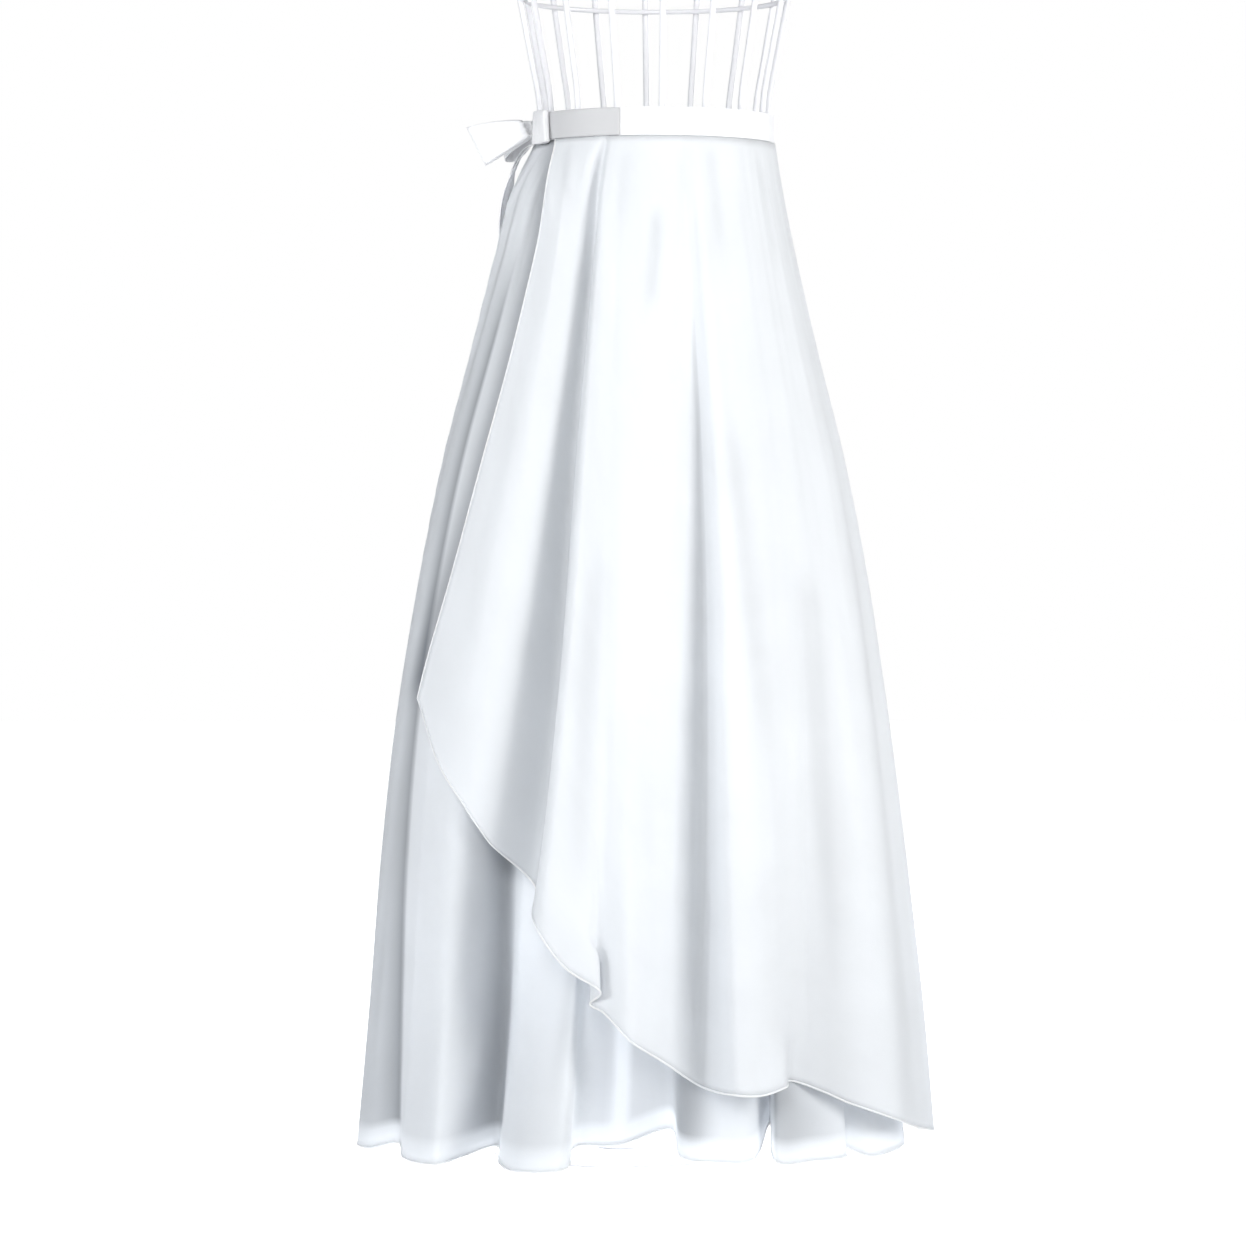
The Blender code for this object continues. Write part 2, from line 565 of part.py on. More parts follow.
def make_stand(material, collection):
    """The arms cross at the pole, one on the ring's longest width, one on the chord through the pole."""
    ring_height = FORM_RINGS[0][1]
    cross_top = ring_height - RING_RADIUS - SEAM_GAP
    inward = 2 * WIRE_RADIUS + SEAM_GAP
    lower_top = cross_top - ARM_HEIGHT - SEAM_GAP
    chord = math.degrees(math.asin(BODY_X / (form_point(90.0, ring_height, inward)[0] - BODY_X)))
    for name, start, end, top in (
        ("form_arm_side", -90.0, 90.0, cross_top),
        ("form_arm_front", -chord, chord - 180.0, lower_top),
    ):
        ends = [form_point(degrees, ring_height, inward)[:2] for degrees in (start, end)]
        make_arm(name, *ends, top, material, collection)
    hub_top = lower_top - ARM_HEIGHT - SEAM_GAP
    hub_low = hub_top - HUB_HEIGHT
    hub = [
        (0.0, hub_top),
        (HUB_RADIUS, hub_top),
        (HUB_RADIUS, hub_top - HUB_RIM),
        (POLE_RADIUS + HUB_RIM, hub_low),
        (0.0, hub_low),
    ]
    turned_object("form_hub", hub, POLE_SIDES, material, collection)
    pole_low, pole_high = BASE_HEIGHT + FOOT_COLLAR_HEIGHT + 2 * SEAM_GAP, hub_low - SEAM_GAP
    pole = [(0.0, pole_high), (POLE_RADIUS, pole_high), (POLE_RADIUS, pole_low), (0.0, pole_low)]
    turned_object("form_pole", pole, POLE_SIDES, material, collection)
    foot_low = BASE_HEIGHT + SEAM_GAP
    foot_high = foot_low + FOOT_COLLAR_HEIGHT
    foot = [
        (0.0, foot_high),
        (FOOT_COLLAR_TOP_RADIUS, foot_high),
        (FOOT_COLLAR_RADIUS, foot_low),
        (0.0, foot_low),
    ]
    turned_object("form_foot_collar", foot, POLE_SIDES, material, collection)
    base = [
        (0.0, BASE_HEIGHT),
        (BASE_RADIUS - BASE_BEVEL, BASE_HEIGHT),
        (BASE_RADIUS, BASE_HEIGHT - BASE_BEVEL),
        (BASE_RADIUS, 0.0),
        (0.0, 0.0),
    ]
    turned_object("form_base", base, 2 * POLE_SIDES, material, collection)


def main():
    clear_scene()
    collection = new_collection("wrap ballet skirt on a wire dress form")
    chiffon = new_material("chiffon", (0.93, 0.95, 0.98), 0.85, 0.0)
    ribbon = new_material("ribbon", (0.93, 0.93, 0.96), 0.40, 0.0)
    enamel = new_material("white enamel", (0.86, 0.86, 0.88), 0.30, 0.0)
    make_panels(chiffon, collection)
    make_waistband(ribbon, collection)
    make_tie_front(ribbon, collection)
    make_knot(ribbon, collection)
    make_loops(ribbon, collection)
    make_tails(ribbon, collection)
    make_wires(enamel, collection)
    make_rings(enamel, collection)
    make_neck_cap(enamel, collection)
    make_stand(enamel, collection)


main()
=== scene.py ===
"""Looks for a full-length wrap ballet skirt, tied at the hip, on a wire dress form.

Metres, +Z up, the front towards -Y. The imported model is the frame, and the cloth pieces are thin shells on the
same wrap of fold lines as its solids, with finer creases, hems and stitching added.
"""

import math
from collections import namedtuple

import bmesh
import bpy
import numpy as np
from bpy.props import FloatProperty, FloatVectorProperty, IntProperty, PointerProperty
from mathutils import Matrix, Vector


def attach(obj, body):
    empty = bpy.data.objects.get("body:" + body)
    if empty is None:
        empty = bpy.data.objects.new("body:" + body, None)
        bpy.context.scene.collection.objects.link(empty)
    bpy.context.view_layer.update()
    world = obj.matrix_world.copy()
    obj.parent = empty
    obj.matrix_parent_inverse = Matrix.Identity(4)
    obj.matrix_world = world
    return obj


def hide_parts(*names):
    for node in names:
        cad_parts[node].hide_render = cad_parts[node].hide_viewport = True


bl_info = {
    "name": "Wrap ballet skirt",
    "version": (1, 0, 0),
    "blender": (4, 5, 0),
    "location": "3D View > Sidebar > Skirt",
    "description": "Models the cloth, the bow and the wire form of a wrap ballet skirt",
    "category": "Object",
}

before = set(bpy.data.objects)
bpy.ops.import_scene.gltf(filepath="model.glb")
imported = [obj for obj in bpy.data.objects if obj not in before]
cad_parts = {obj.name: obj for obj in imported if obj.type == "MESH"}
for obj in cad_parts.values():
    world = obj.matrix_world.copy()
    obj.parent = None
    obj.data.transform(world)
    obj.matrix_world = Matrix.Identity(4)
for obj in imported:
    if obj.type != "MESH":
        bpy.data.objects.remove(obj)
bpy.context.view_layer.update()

# Sizes and fold lines of the solids
BODY_X = 0.035

# Sewn pieces
SEAM_GAP = 0.0003
CLOTH_WALL = 0.0012
BAND_WALL = 0.0015
BAND_BOTTOM = 1.008
BAND_HEIGHT = 0.028
BAND_TOP = BAND_BOTTOM + BAND_HEIGHT
BAND_HALF_WIDTH = 0.121
BAND_HALF_DEPTH = 0.095
BAND_LAYER_STEP = 0.002
BAND_UNDER_END = 75.0
BAND_OVER_END = -66.0
BAND_STEP_ANGLE = 6.0
SKIRT_TOP = BAND_BOTTOM - SEAM_GAP

# Tie and bow
KNOT_ANGLE = -66.5
KNOT_WIDTH = 0.019
KNOT_HEIGHT = 0.033
KNOT_DEPTH = 0.009
KNOT_TAPER = 0.78
KNOT_SAG = 0.001
KNOT_BEVEL = 0.003
TIE_WALL = 0.0012
TIE_WIDTH = 0.027
TIE_FRONT_START = -16.3
TIE_FRONT_END = -61.8
TIE_FRONT_COLUMNS = 9
TIE_FRONT_GAP = 0.0004
TAIL_DROP = 0.0042
TAIL_SLANT = 0.004
TAIL_TURN_RADIUS = 0.16

# Dress form
WIRE_RADIUS = 0.003
RING_RADIUS = 0.0025
WIRE_COUNT = 16
WIRE_TURN = 3.5
NECK_CAP_RADIUS = 0.058
NECK_CAP_HEIGHT = 0.016
NECK_CAP_CROWN = 0.002
NECK_CAP_SHOULDER = 0.007
NECK_CAP_CURL = 0.004
ARM_WIDTH = 0.014
ARM_HEIGHT = 0.004
ARM_BEVEL = 0.001
HUB_RADIUS = 0.030
HUB_HEIGHT = 0.012
HUB_RIM = 0.004
POLE_RADIUS = 0.012
POLE_SIDES = 24
BASE_RADIUS = 0.125
BASE_HEIGHT = 0.006
BASE_BEVEL = 0.002
FOOT_COLLAR_RADIUS = 0.022
FOOT_COLLAR_TOP_RADIUS = 0.015
FOOT_COLLAR_HEIGHT = 0.018

Section = namedtuple("Section", "height left right front back")
SKIRT_OUTLINE = (
    Section(0.010, 0.299, 0.280, 0.272, 0.290),
    Section(0.150, 0.287, 0.268, 0.256, 0.274),
    Section(0.300, 0.276, 0.251, 0.236, 0.257),
    Section(0.450, 0.260, 0.232, 0.214, 0.235),
    Section(0.600, 0.235, 0.209, 0.189, 0.208),
    Section(0.700, 0.214, 0.189, 0.166, 0.186),
    Section(0.800, 0.188, 0.164, 0.143, 0.160),
    Section(0.900, 0.163, 0.141, 0.122, 0.132),
    Section(0.960, 0.147, 0.129, 0.108, 0.112),
    Section(1.010, 0.121, 0.121, 0.095, 0.095),
)
FORM_OUTLINE = (
    Section(0.876, 0.1352, 0.1352, 0.1042, 0.1112),
    Section(0.940, 0.1275, 0.1275, 0.0980, 0.1030),
    Section(1.000, 0.1172, 0.1172, 0.0912, 0.0912),
    Section(1.045, 0.1172, 0.1172, 0.0912, 0.0912),
    Section(1.100, 0.1270, 0.1270, 0.1010, 0.0950),
    Section(1.153, 0.1370, 0.1370, 0.1130, 0.1000),
    Section(1.200, 0.1460, 0.1460, 0.1280, 0.1030),
    Section(1.240, 0.1530, 0.1530, 0.1370, 0.1050),
    Section(1.280, 0.1580, 0.1580, 0.1350, 0.1050),
    Section(1.315, 0.1600, 0.1600, 0.1240, 0.1040),
    Section(1.350, 0.1570, 0.1570, 0.1110, 0.1010),
    Section(1.390, 0.1420, 0.1420, 0.0940, 0.0940),
    Section(1.425, 0.1100, 0.1100, 0.0760, 0.0790),
    Section(1.455, 0.0660, 0.0660, 0.0600, 0.0610),
    Section(1.478, 0.0565, 0.0565, 0.0555, 0.0555),
    Section(1.497, 0.0560, 0.0560, 0.0550, 0.0550),
)
FORM_RINGS = (("form_ring_hip", 0.881), ("form_ring_rib", 1.153), ("form_ring_chest", 1.315))

# Each row is one fold line of the cloth, in the order in which it wraps. waist, mid and hem are its angles
# at the band, half way down and at its own hem; pinch is how far it turns towards the knot at the band; hip,
# mid_in and hem_in are how far it lies inside the outline there; cut is the height of its hem.
Fold = namedtuple("Fold", "waist mid hem pinch hip mid_in hem_in cut")
UNDER_FOLDS = (
    Fold(84, 84, 84, 0, 0.001, 0.016, 0.028, 0.012),
    Fold(74, 74, 71, 0, 0.001, 0.017, 0.028, 0.012),
    Fold(64, 64, 57, 0, 0.001, 0.018, 0.030, 0.012),
    Fold(57, 57, 54, 0, 0.001, 0.020, 0.050, 0.020),
    Fold(51, 50, 50, 0, 0.001, 0.020, 0.036, 0.014),
    Fold(42, 40, 38, 0, 0.001, 0.022, 0.036, 0.013),
    Fold(35, 33, 29.5, 0, 0.001, 0.024, 0.042, 0.014),
    Fold(30, 29, 36.5, 0, 0.001, 0.026, 0.088, 0.045),
    Fold(24, 23, 24.5, 0, 0.002, 0.030, 0.052, 0.016),
    Fold(16, 15, 15, 0, 0.002, 0.052, 0.062, 0.014),
    Fold(10, 9, 7, 0, 0.002, 0.054, 0.072, 0.018),
    Fold(4, 3, 5, 0, 0.002, 0.046, 0.104, 0.042),
    Fold(-4, -5, -11, 0, 0.002, 0.032, 0.108, 0.026),
    Fold(-11, -13, -23, 0, 0.003, 0.034, 0.104, 0.024),
    Fold(-15, -20, -17, 0, 0.006, 0.056, -0.004, 0.014),
    Fold(-20, -28.5, -25, 0, 0.012, 0.063, -0.008, 0.011),
    Fold(-25, -38, -33, 0, 0.014, 0.063, 0.024, 0.013),
    Fold(-31, -44, -46, 0, 0.012, 0.052, 0.082, 0.022),
    Fold(-37, -43.5, -46, 0, 0.006, 0.030, 0.041, 0.016),
    Fold(-44, -47.5, -45, 3, 0.003, 0.010, -0.001, 0.011),
    Fold(-51, -58, -57.5, 6, 0.002, 0.007, 0.007, 0.012),
    Fold(-59, -68.5, -65, 7, 0.007, 0.007, 0.020, 0.022),
    Fold(-66, -73.5, -71.5, 6, 0.001, 0.001, 0.002, 0.015),
    Fold(-73, -80, -84, 3, 0.006, 0.000, 0.000, 0.013),
)
LEFT_SEAM = Fold(-80, -87, -92, 0, 0.002, 0.004, 0.011, 0.013)
BACK_FOLDS = (
    Fold(-89, -97, -103, -2, 0.004, 0.013, 0.032, 0.018),
    Fold(-100, -107, -113, -3, 0.000, 0.000, 0.000, 0.010),
    Fold(-114, -119, -125, 0, 0.003, 0.020, 0.046, 0.018),
    Fold(-128, -133, -137, 0, 0.000, 0.000, 0.000, 0.010),
    Fold(-143, -147, -151, 0, 0.001, 0.018, 0.052, 0.020),
    Fold(-158, -161, -163, 0, 0.000, 0.001, 0.000, 0.010),
    Fold(-172, -175, -177, 0, 0.001, 0.022, 0.056, 0.020),
    Fold(-187, -188, -188, 0, 0.000, 0.000, 0.000, 0.010),
    Fold(-202, -201, -201, 0, 0.001, 0.020, 0.048, 0.020),
    Fold(-216, -215, -213, 0, 0.000, 0.001, 0.000, 0.010),
    Fold(-229, -228, -226, 0, 0.001, 0.016, 0.044, 0.018),
    Fold(-242, -241, -239, 0, 0.000, 0.000, 0.000, 0.012),
    Fold(-253, -252, -251, 0, 0.001, 0.008, 0.020, 0.018),
)
RIGHT_SEAM = Fold(-263, -263, -263, 0, 0.000, 0.000, 0.002, 0.020)
OVER_FOLDS = (
    Fold(-274, -274, -274, 0, 0.000, 0.000, 0.000, 0.025),
    Fold(-284, -286, -288, 0, 0.000, 0.004, 0.008, 0.035),
    Fold(-294, -297, -303, 0, 0.000, 0.000, 0.000, 0.050),
    Fold(-302, -307, -314, 0, 0.000, 0.005, 0.020, 0.069),
    Fold(-309, -316, -321, 0, 0.000, 0.006, 0.030, 0.083),
    Fold(-316, -323, -326.5, 0, 0.000, 0.008, 0.038, 0.091),
    Fold(-322, -329.5, -333, 0, 0.000, 0.000, 0.002, 0.089),
    Fold(-335, -337, -338, 0, 0.000, -0.002, 0.004, 0.082),
    Fold(-340.5, -343, -343.5, 0, 0.000, 0.003, 0.005, 0.083),
    Fold(-345.5, -345.5, -348.5, 0, 0.002, 0.032, 0.050, 0.087),
    Fold(-350, -355.5, -358.5, 0, 0.001, 0.017, 0.034, 0.113),
    Fold(-361, -364.5, -365, 0, 0.000, 0.002, 0.012, 0.134),
    Fold(-366.5, -368, -370.3, 0, 0.000, 0.000, 0.021, 0.158),
    Fold(-369.5, -370.5, -374.0, 0, 0.000, 0.001, 0.027, 0.167),
    Fold(-372, -372.7, -371.0, 0, 0.000, 0.000, 0.007, 0.181),
    Fold(-376, -374, -378, 0, 0.000, 0.000, -0.002, 0.205),
    Fold(-380.5, -379.5, -384, 0, 0.000, 0.001, -0.002, 0.243),
    Fold(-383.5, -386.5, -393.5, 0, 0.011, 0.040, 0.064, 0.278),
    Fold(-387.5, -391, -399.5, 0, 0.003, 0.011, 0.023, 0.318),
    Fold(-394, -398, -404.5, 0, 0.000, 0.001, 0.006, 0.356),
    Fold(-399, -405, -414, -5, 0.000, 0.000, 0.000, 0.405),
    Fold(-402, -413.5, -424, -11, 0.000, -0.001, 0.000, 0.458),
)
WRAP_FOLDS = (*UNDER_FOLDS, LEFT_SEAM, *BACK_FOLDS, RIGHT_SEAM, *OVER_FOLDS)
LEFT_SEAM_AT = len(UNDER_FOLDS)
RIGHT_SEAM_AT = LEFT_SEAM_AT + 1 + len(BACK_FOLDS)
FREE_EDGE_AT = len(WRAP_FOLDS) - 1

HIP_DROP = 0.08
PINCH_DROP = 0.035
SEAM_HALF_GAP = 0.0003

Panel = namedtuple("Panel", "name start end rows")
PANELS = (
    Panel("under_front", 0, LEFT_SEAM_AT, 12),
    Panel("back_panel", LEFT_SEAM_AT, RIGHT_SEAM_AT, 11),
    Panel("over_front", RIGHT_SEAM_AT, FREE_EDGE_AT, 14),
)
COLUMNS_PER_FOLD = 3
ROW_CLOSING = 1.3



def smooth_value(x, knots, values):
    """A cubic through the knots, whose slope at each one comes from its neighbours."""
    knots = np.asarray(knots, float)
    values = np.asarray(values, float)
    slopes = np.gradient(values, knots)
    i = np.clip(np.searchsorted(knots, x, side="right") - 1, 0, len(knots) - 2)
    span = knots[i + 1] - knots[i]
    t = np.clip((x - knots[i]) / span, 0.0, 1.0)
    start = (1 + 2 * t) * (1 - t) ** 2 * values[i] + t * (1 - t) ** 2 * span * slopes[i]
    return start + t * t * (3 - 2 * t) * values[i + 1] + t * t * (t - 1) * span * slopes[i + 1]


def outline_point(outline, degrees, height, outward=0.0):
    """X and Y on an outline, moved outward along the direction of its angle."""
    heights = [row.height for row in outline]
    left, right, front, back = (
        smooth_value(height, heights, [getattr(row, side) for row in outline])
        for side in Section._fields[1:]
    )
    across = np.sin(np.radians(degrees))
    along = -np.cos(np.radians(degrees))
    x = BODY_X + across * (np.where(across < 0, left, right) + outward)
    y = along * (np.where(along < 0, front, back) + outward)
    return x, y


def fold_point(index, height):
    """X and Y of the fold line of that index in WRAP_FOLDS, at a height."""
    fold = [np.take([getattr(row, name) for row in WRAP_FOLDS], index) for name in Fold._fields]
    waist, mid, hem, pinch, hip, mid_in, hem_in, cut = fold
    drop = SKIRT_TOP - height
    share = drop / (SKIRT_TOP - cut)
    # The angle is waist + a share + b share^3 through mid and hem, and the depth a share^1.5 + b share^4.
    turn = (hem - waist - 2 * (mid - waist)) / 0.75
    degrees = waist + (hem - waist - turn) * share + turn * share**3 + pinch * np.exp(-drop / PINCH_DROP)
    half, deep = 0.5**1.5, 0.5**4
    late = (mid_in - half * hem_in) / (deep - half)
    inward = (hem_in - late) * share**1.5 + late * share**4
    inward = inward + hip * (drop / HIP_DROP) * np.exp(1 - drop / HIP_DROP)
    return outline_point(SKIRT_OUTLINE, degrees, height, -inward - layer_depth(index))


def layer_depth(index):
    """How far the wrap lies inside its last turn: one layer at the under front, less and less behind."""
    left = np.clip((RIGHT_SEAM_AT - index) / (RIGHT_SEAM_AT - LEFT_SEAM_AT), 0.0, 1.0)
    return BAND_LAYER_STEP * left


def curve_through(points, share):
    """A centripetal Catmull-Rom curve between points[1] and points[2], each an array of X and Y rows."""
    p0, p1, p2, p3 = points
    pairs = ((p0, p1), (p1, p2), (p2, p3))
    gap = [np.maximum(np.linalg.norm(b - a, axis=-1), 1e-6) ** 0.5 for a, b in pairs]
    t0 = 0.0
    t1 = gap[0]
    t2 = t1 + gap[1]
    t3 = t2 + gap[2]
    t = t1 + share * gap[1]

    def mix(a, b, ta, tb):
        return a * ((tb - t) / (tb - ta))[..., None] + b * ((t - ta) / (tb - ta))[..., None]

    a1, a2, a3 = mix(p0, p1, t0, t1), mix(p1, p2, t1, t2), mix(p2, p3, t2, t3)
    return mix(mix(a1, a2, t0, t2), mix(a2, a3, t1, t3), t1, t2)


def wrap_point(place, height):
    """X, Y of the cloth at places counted in fold lines along the wrap, at heights."""
    first = np.clip(np.floor(place).astype(int), 0, FREE_EDGE_AT - 1)
    share = place - first
    near = [fold_point(np.clip(first + k, 0, FREE_EDGE_AT), height) for k in (-1, 0, 1, 2)]
    p0, p1, p2, p3 = (np.stack(xy, axis=-1) for xy in near)
    p0 = np.where((first == 0)[..., None], 2 * p1 - p2, p0)
    p3 = np.where((first == FREE_EDGE_AT - 1)[..., None], 2 * p2 - p1, p3)
    return curve_through((p0, p1, p2, p3), share)


def cut_height(place):
    cuts = [row.cut for row in WRAP_FOLDS]
    return smooth_value(place, np.arange(len(cuts)), cuts)


# Creases that are finer than the fold lines. top and foot are the heights where one starts and ends, top_at and
# foot_at its angles there, bow how far it swings aside half way, width half its breadth, and rise how far it
# stands out of the cloth, or lies in it where negative.
Crease = namedtuple("Crease", "panel top top_at foot foot_at bow width rise")
CREASES = (
    Crease("over_front", 1.006, -50.0, 0.900, -36.0, -1.0, 0.0040, 0.0011),
    Crease("over_front", 1.006, -44.0, 0.930, -31.0, -1.0, 0.0035, -0.0009),
    Crease("over_front", 1.005, -30.0, 0.935, -27.0, 0.0, 0.0050, 0.0008),
    Crease("over_front", 1.005, -12.0, 0.900, -12.5, 0.0, 0.0060, -0.0007),
    Crease("over_front", 0.945, 0.6, 0.815, -2.4, 0.5, 0.0055, -0.0022),
    Crease("over_front", 0.900, 3.8, 0.700, 0.8, 0.3, 0.0080, 0.0012),
    Crease("over_front", 1.005, 14.0, 0.930, 14.0, 0.0, 0.0060, -0.0006),
    Crease("over_front", 1.005, 27.0, 0.880, 28.0, 0.3, 0.0070, -0.0010),
    Crease("over_front", 1.005, 41.0, 0.920, 42.0, 0.0, 0.0060, 0.0007),
    Crease("over_front", 1.000, 57.0, 0.860, 58.0, 0.4, 0.0070, -0.0009),
    Crease("over_front", 0.760, 24.0, 0.330, 27.0, 0.6, 0.0110, -0.0016),
    Crease("over_front", 0.640, 43.0, 0.120, 46.0, -0.8, 0.0130, -0.0012),
    Crease("over_front", 0.560, 55.0, 0.090, 57.0, 0.6, 0.0100, 0.0016),
    Crease("over_front", 0.620, -14.0, 0.230, -15.0, -0.8, 0.0110, -0.0015),
    Crease("under_front", 1.004, -66.0, 0.900, -84.0, -4.0, 0.0036, 0.0016),
    Crease("under_front", 1.004, -61.0, 0.915, -74.0, -3.0, 0.0034, -0.0014),
    Crease("under_front", 1.002, -58.0, 0.880, -68.0, -1.0, 0.0040, 0.0014),
    Crease("under_front", 0.960, -66.0, 0.800, -75.0, 1.0, 0.0050, -0.0014),
    Crease("under_front", 0.640, -58.0, 0.300, -60.0, 0.5, 0.0080, 0.0014),
    Crease("under_front", 0.560, -41.0, 0.140, -43.0, 0.5, 0.0080, 0.0016),
    Crease("under_front", 0.420, -72.0, 0.090, -75.0, -0.5, 0.0080, -0.0014),
    Crease("under_front", 0.300, -21.0, 0.060, -21.5, 0.0, 0.0070, -0.0016),
    Crease("under_front", 0.300, 12.0, 0.050, 12.5, 0.0, 0.0070, -0.0014),
    Crease("back_panel", 1.004, -86.0, 0.880, -96.0, 0.0, 0.0040, -0.0013),
    Crease("back_panel", 1.004, -104.0, 0.900, -109.0, 0.0, 0.0045, 0.0011),
    Crease("back_panel", 1.004, -121.0, 0.850, -125.0, 0.5, 0.0060, -0.0012),
    Crease("back_panel", 0.960, -136.0, 0.700, -141.0, -0.6, 0.0070, 0.0014),
    Crease("back_panel", 1.004, -152.0, 0.870, -154.0, 0.4, 0.0055, 0.0011),
    Crease("back_panel", 1.004, -166.0, 0.830, -169.0, 0.3, 0.0060, -0.0012),
    Crease("back_panel", 0.930, -181.0, 0.620, -183.0, 0.6, 0.0080, 0.0015),
    Crease("back_panel", 1.004, -195.0, 0.880, -194.0, -0.4, 0.0055, -0.0012),
    Crease("back_panel", 0.960, -209.0, 0.690, -207.0, 0.6, 0.0070, 0.0013),
    Crease("back_panel", 1.004, -223.0, 0.860, -221.0, -0.3, 0.0060, -0.0011),
    Crease("back_panel", 1.000, -236.0, 0.900, -235.0, 0.2, 0.0050, 0.0010),
    Crease("back_panel", 0.560, -112.0, 0.090, -116.0, 0.6, 0.0090, 0.0016),
    Crease("back_panel", 0.500, -139.0, 0.110, -142.0, -0.6, 0.0090, -0.0016),
    Crease("back_panel", 0.620, -158.0, 0.150, -159.0, 0.7, 0.0100, 0.0016),
    Crease("back_panel", 0.520, -191.0, 0.080, -192.0, -0.5, 0.0090, 0.0016),
    Crease("back_panel", 0.600, -219.0, 0.140, -217.0, 0.5, 0.0100, -0.0016),
    Crease("back_panel", 0.450, -245.0, 0.090, -244.0, 0.4, 0.0080, 0.0014),
)
# The deep folds. fold is the line of WRAP_FOLDS in which one lies; top and foot are the heights where it starts and
# ends; left and right are its breadth on either side at the foot, seen from the front; rise is how far it stands
# out of the solid's form, and shade how much painted shade goes into the cloth's colour in it, painted light where
# negative.
Valley = namedtuple("Valley", "panel fold top foot left right rise shade")
VALLEYS = (
    Valley("over_front", 56.0, 0.940, 0.250, 0.075, 0.020, -0.0010, 0.20),
    Valley("over_front", 48.0, 0.800, 0.070, 0.085, 0.050, 0.0000, 0.09),
    Valley("over_front", 48.0, 0.860, 0.090, 0.014, 0.010, -0.0010, 0.12),
    Valley("over_front", 42.6, 0.600, 0.080, 0.070, 0.060, 0.0000, 0.07),
    Valley("under_front", 21.0, 0.940, 0.010, 0.160, 0.016, 0.0000, 0.24),
    Valley("under_front", 21.0, 0.900, 0.010, 0.030, 0.012, 0.0000, 0.34),
    Valley("under_front", 17.0, 0.700, 0.010, 0.080, 0.020, 0.0000, 0.40),
    Valley("under_front", 10.0, 0.300, 0.010, 0.075, 0.045, 0.0000, 0.42),
    # These two rows paint light: a paler patch, and a pale strip where the pole stands behind the cloth.
    Valley("under_front", 13.5, 0.350, 0.010, 0.060, 0.060, 0.0000, -0.22),
    Valley("under_front", 12.0, 0.300, 0.010, 0.018, 0.018, 0.0000, -0.25),
    Valley("under_front", 6.0, 0.300, 0.010, 0.004, 0.110, 0.0000, 0.27),
    Valley("under_front", 22.0, 1.050, 0.500, 0.200, 0.060, 0.0000, 0.04),
)
# How far the over panel's free edge is turned in from the solid's, by height.
EdgeTurn = namedtuple("EdgeTurn", "height inward")
EDGE_TURNS = (
    EdgeTurn(0.440, 0.000),
    EdgeTurn(0.480, 0.002),
    EdgeTurn(0.590, 0.009),
    EdgeTurn(0.715, 0.010),
    EdgeTurn(0.840, 0.006),
    EdgeTurn(0.930, 0.003),
    EdgeTurn(0.980, 0.000),
)
# Slight ripples of the cloth: their length round the body and down it, in metres, their share and their phase.
# Stretches of the wrap, counted in fold lines, where the cloth rounds the corners of the folds off.
SOFT_STRETCHES = {"over_front": ((51.2, 54.8), (43.4, 46.2))}
SOFT_PASSES = 60
SOFT_HEM = 0.03
# Painted shade in the cloth's colour: UNDER_SHADE on the under and back panels, LOW_SHADE towards the bottom up to
# LOW_SHADE_TOP,
# CREASE_SHADE in sunken creases and EDGE_SHADE as a painted shadow of the over panel's free edge. HEM_DEPTH is the
# depth of the doubled hem band, where only HEM_LIGHT of the painted shade is kept, so the hem looks whiter.
UNDER_SHADE = 0.07
LOW_SHADE = 0.09
LOW_SHADE_TOP = 0.45
CREASE_SHADE = 50.0
HEM_DEPTH = 0.016
HEM_LIGHT = 0.10
EDGE_SHADE = 0.42
EDGE_SHADE_REACH = 0.019
EDGE_SHADE_FOOT = 0.44
Ripple = namedtuple("Ripple", "across down share phase")
RIPPLES = (
    Ripple(0.0290, 0.90, 0.40, 0.3),
    Ripple(0.0470, -1.30, 0.70, 1.9),
    Ripple(0.0173, 0.60, 0.22, 4.1),
    Ripple(0.0810, 1.70, 0.90, 2.6),
)
RIPPLE_START = 0.05
SEAM_BREADTH = 0.005
SEAM_RISE = 0.0004
SEAM_PUCKER = 0.0003
SEAM_PUCKER_PITCH = 0.011
FACING_HEIGHT = 0.016

# The cuts, as wide and long as the flat cloth, and their area. what is above each is how it is held.
Cut = namedtuple("Cut", "name width length area held")


# Objects and meshes


def collection():
    name = "Wrap ballet skirt"
    found = bpy.data.collections.get(name)
    if found is None:
        found = bpy.data.collections.new(name)
        bpy.context.scene.collection.children.link(found)
    return found


def add_mesh(name, points, faces, material):
    """A new object with smooth faces through the points."""
    mesh = bpy.data.meshes.new(name)
    mesh.from_pydata([tuple(map(float, p)) for p in points], [], faces)
    mesh.materials.append(material)
    mesh.shade_smooth()
    obj = bpy.data.objects.new(name, mesh)
    collection().objects.link(obj)
    return obj


def select_only(obj):
    bpy.ops.object.select_all(action="DESELECT")
    obj.select_set(True)
    bpy.context.view_layer.objects.active = obj


def apply_modifiers(obj):
    select_only(obj)
    for modifier in list(obj.modifiers):
        bpy.ops.object.modifier_apply(modifier=modifier.name)


def apply_place(obj):
    select_only(obj)
    bpy.ops.object.transform_apply(location=True, rotation=True, scale=True)


def join(name, objects):
    select_only(objects[0])
    for obj in objects:
        obj.select_set(True)
    bpy.ops.object.join()
    joined = bpy.context.object
    joined.name = joined.data.name = name
    return joined


def finish_piece(obj, slot, *nodes):
    """The piece rides on the one body and stands for its nodes."""
    if obj is None or not obj.data.polygons:
        raise RuntimeError("a piece came out empty")
    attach(obj, "root")
    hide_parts(*nodes)


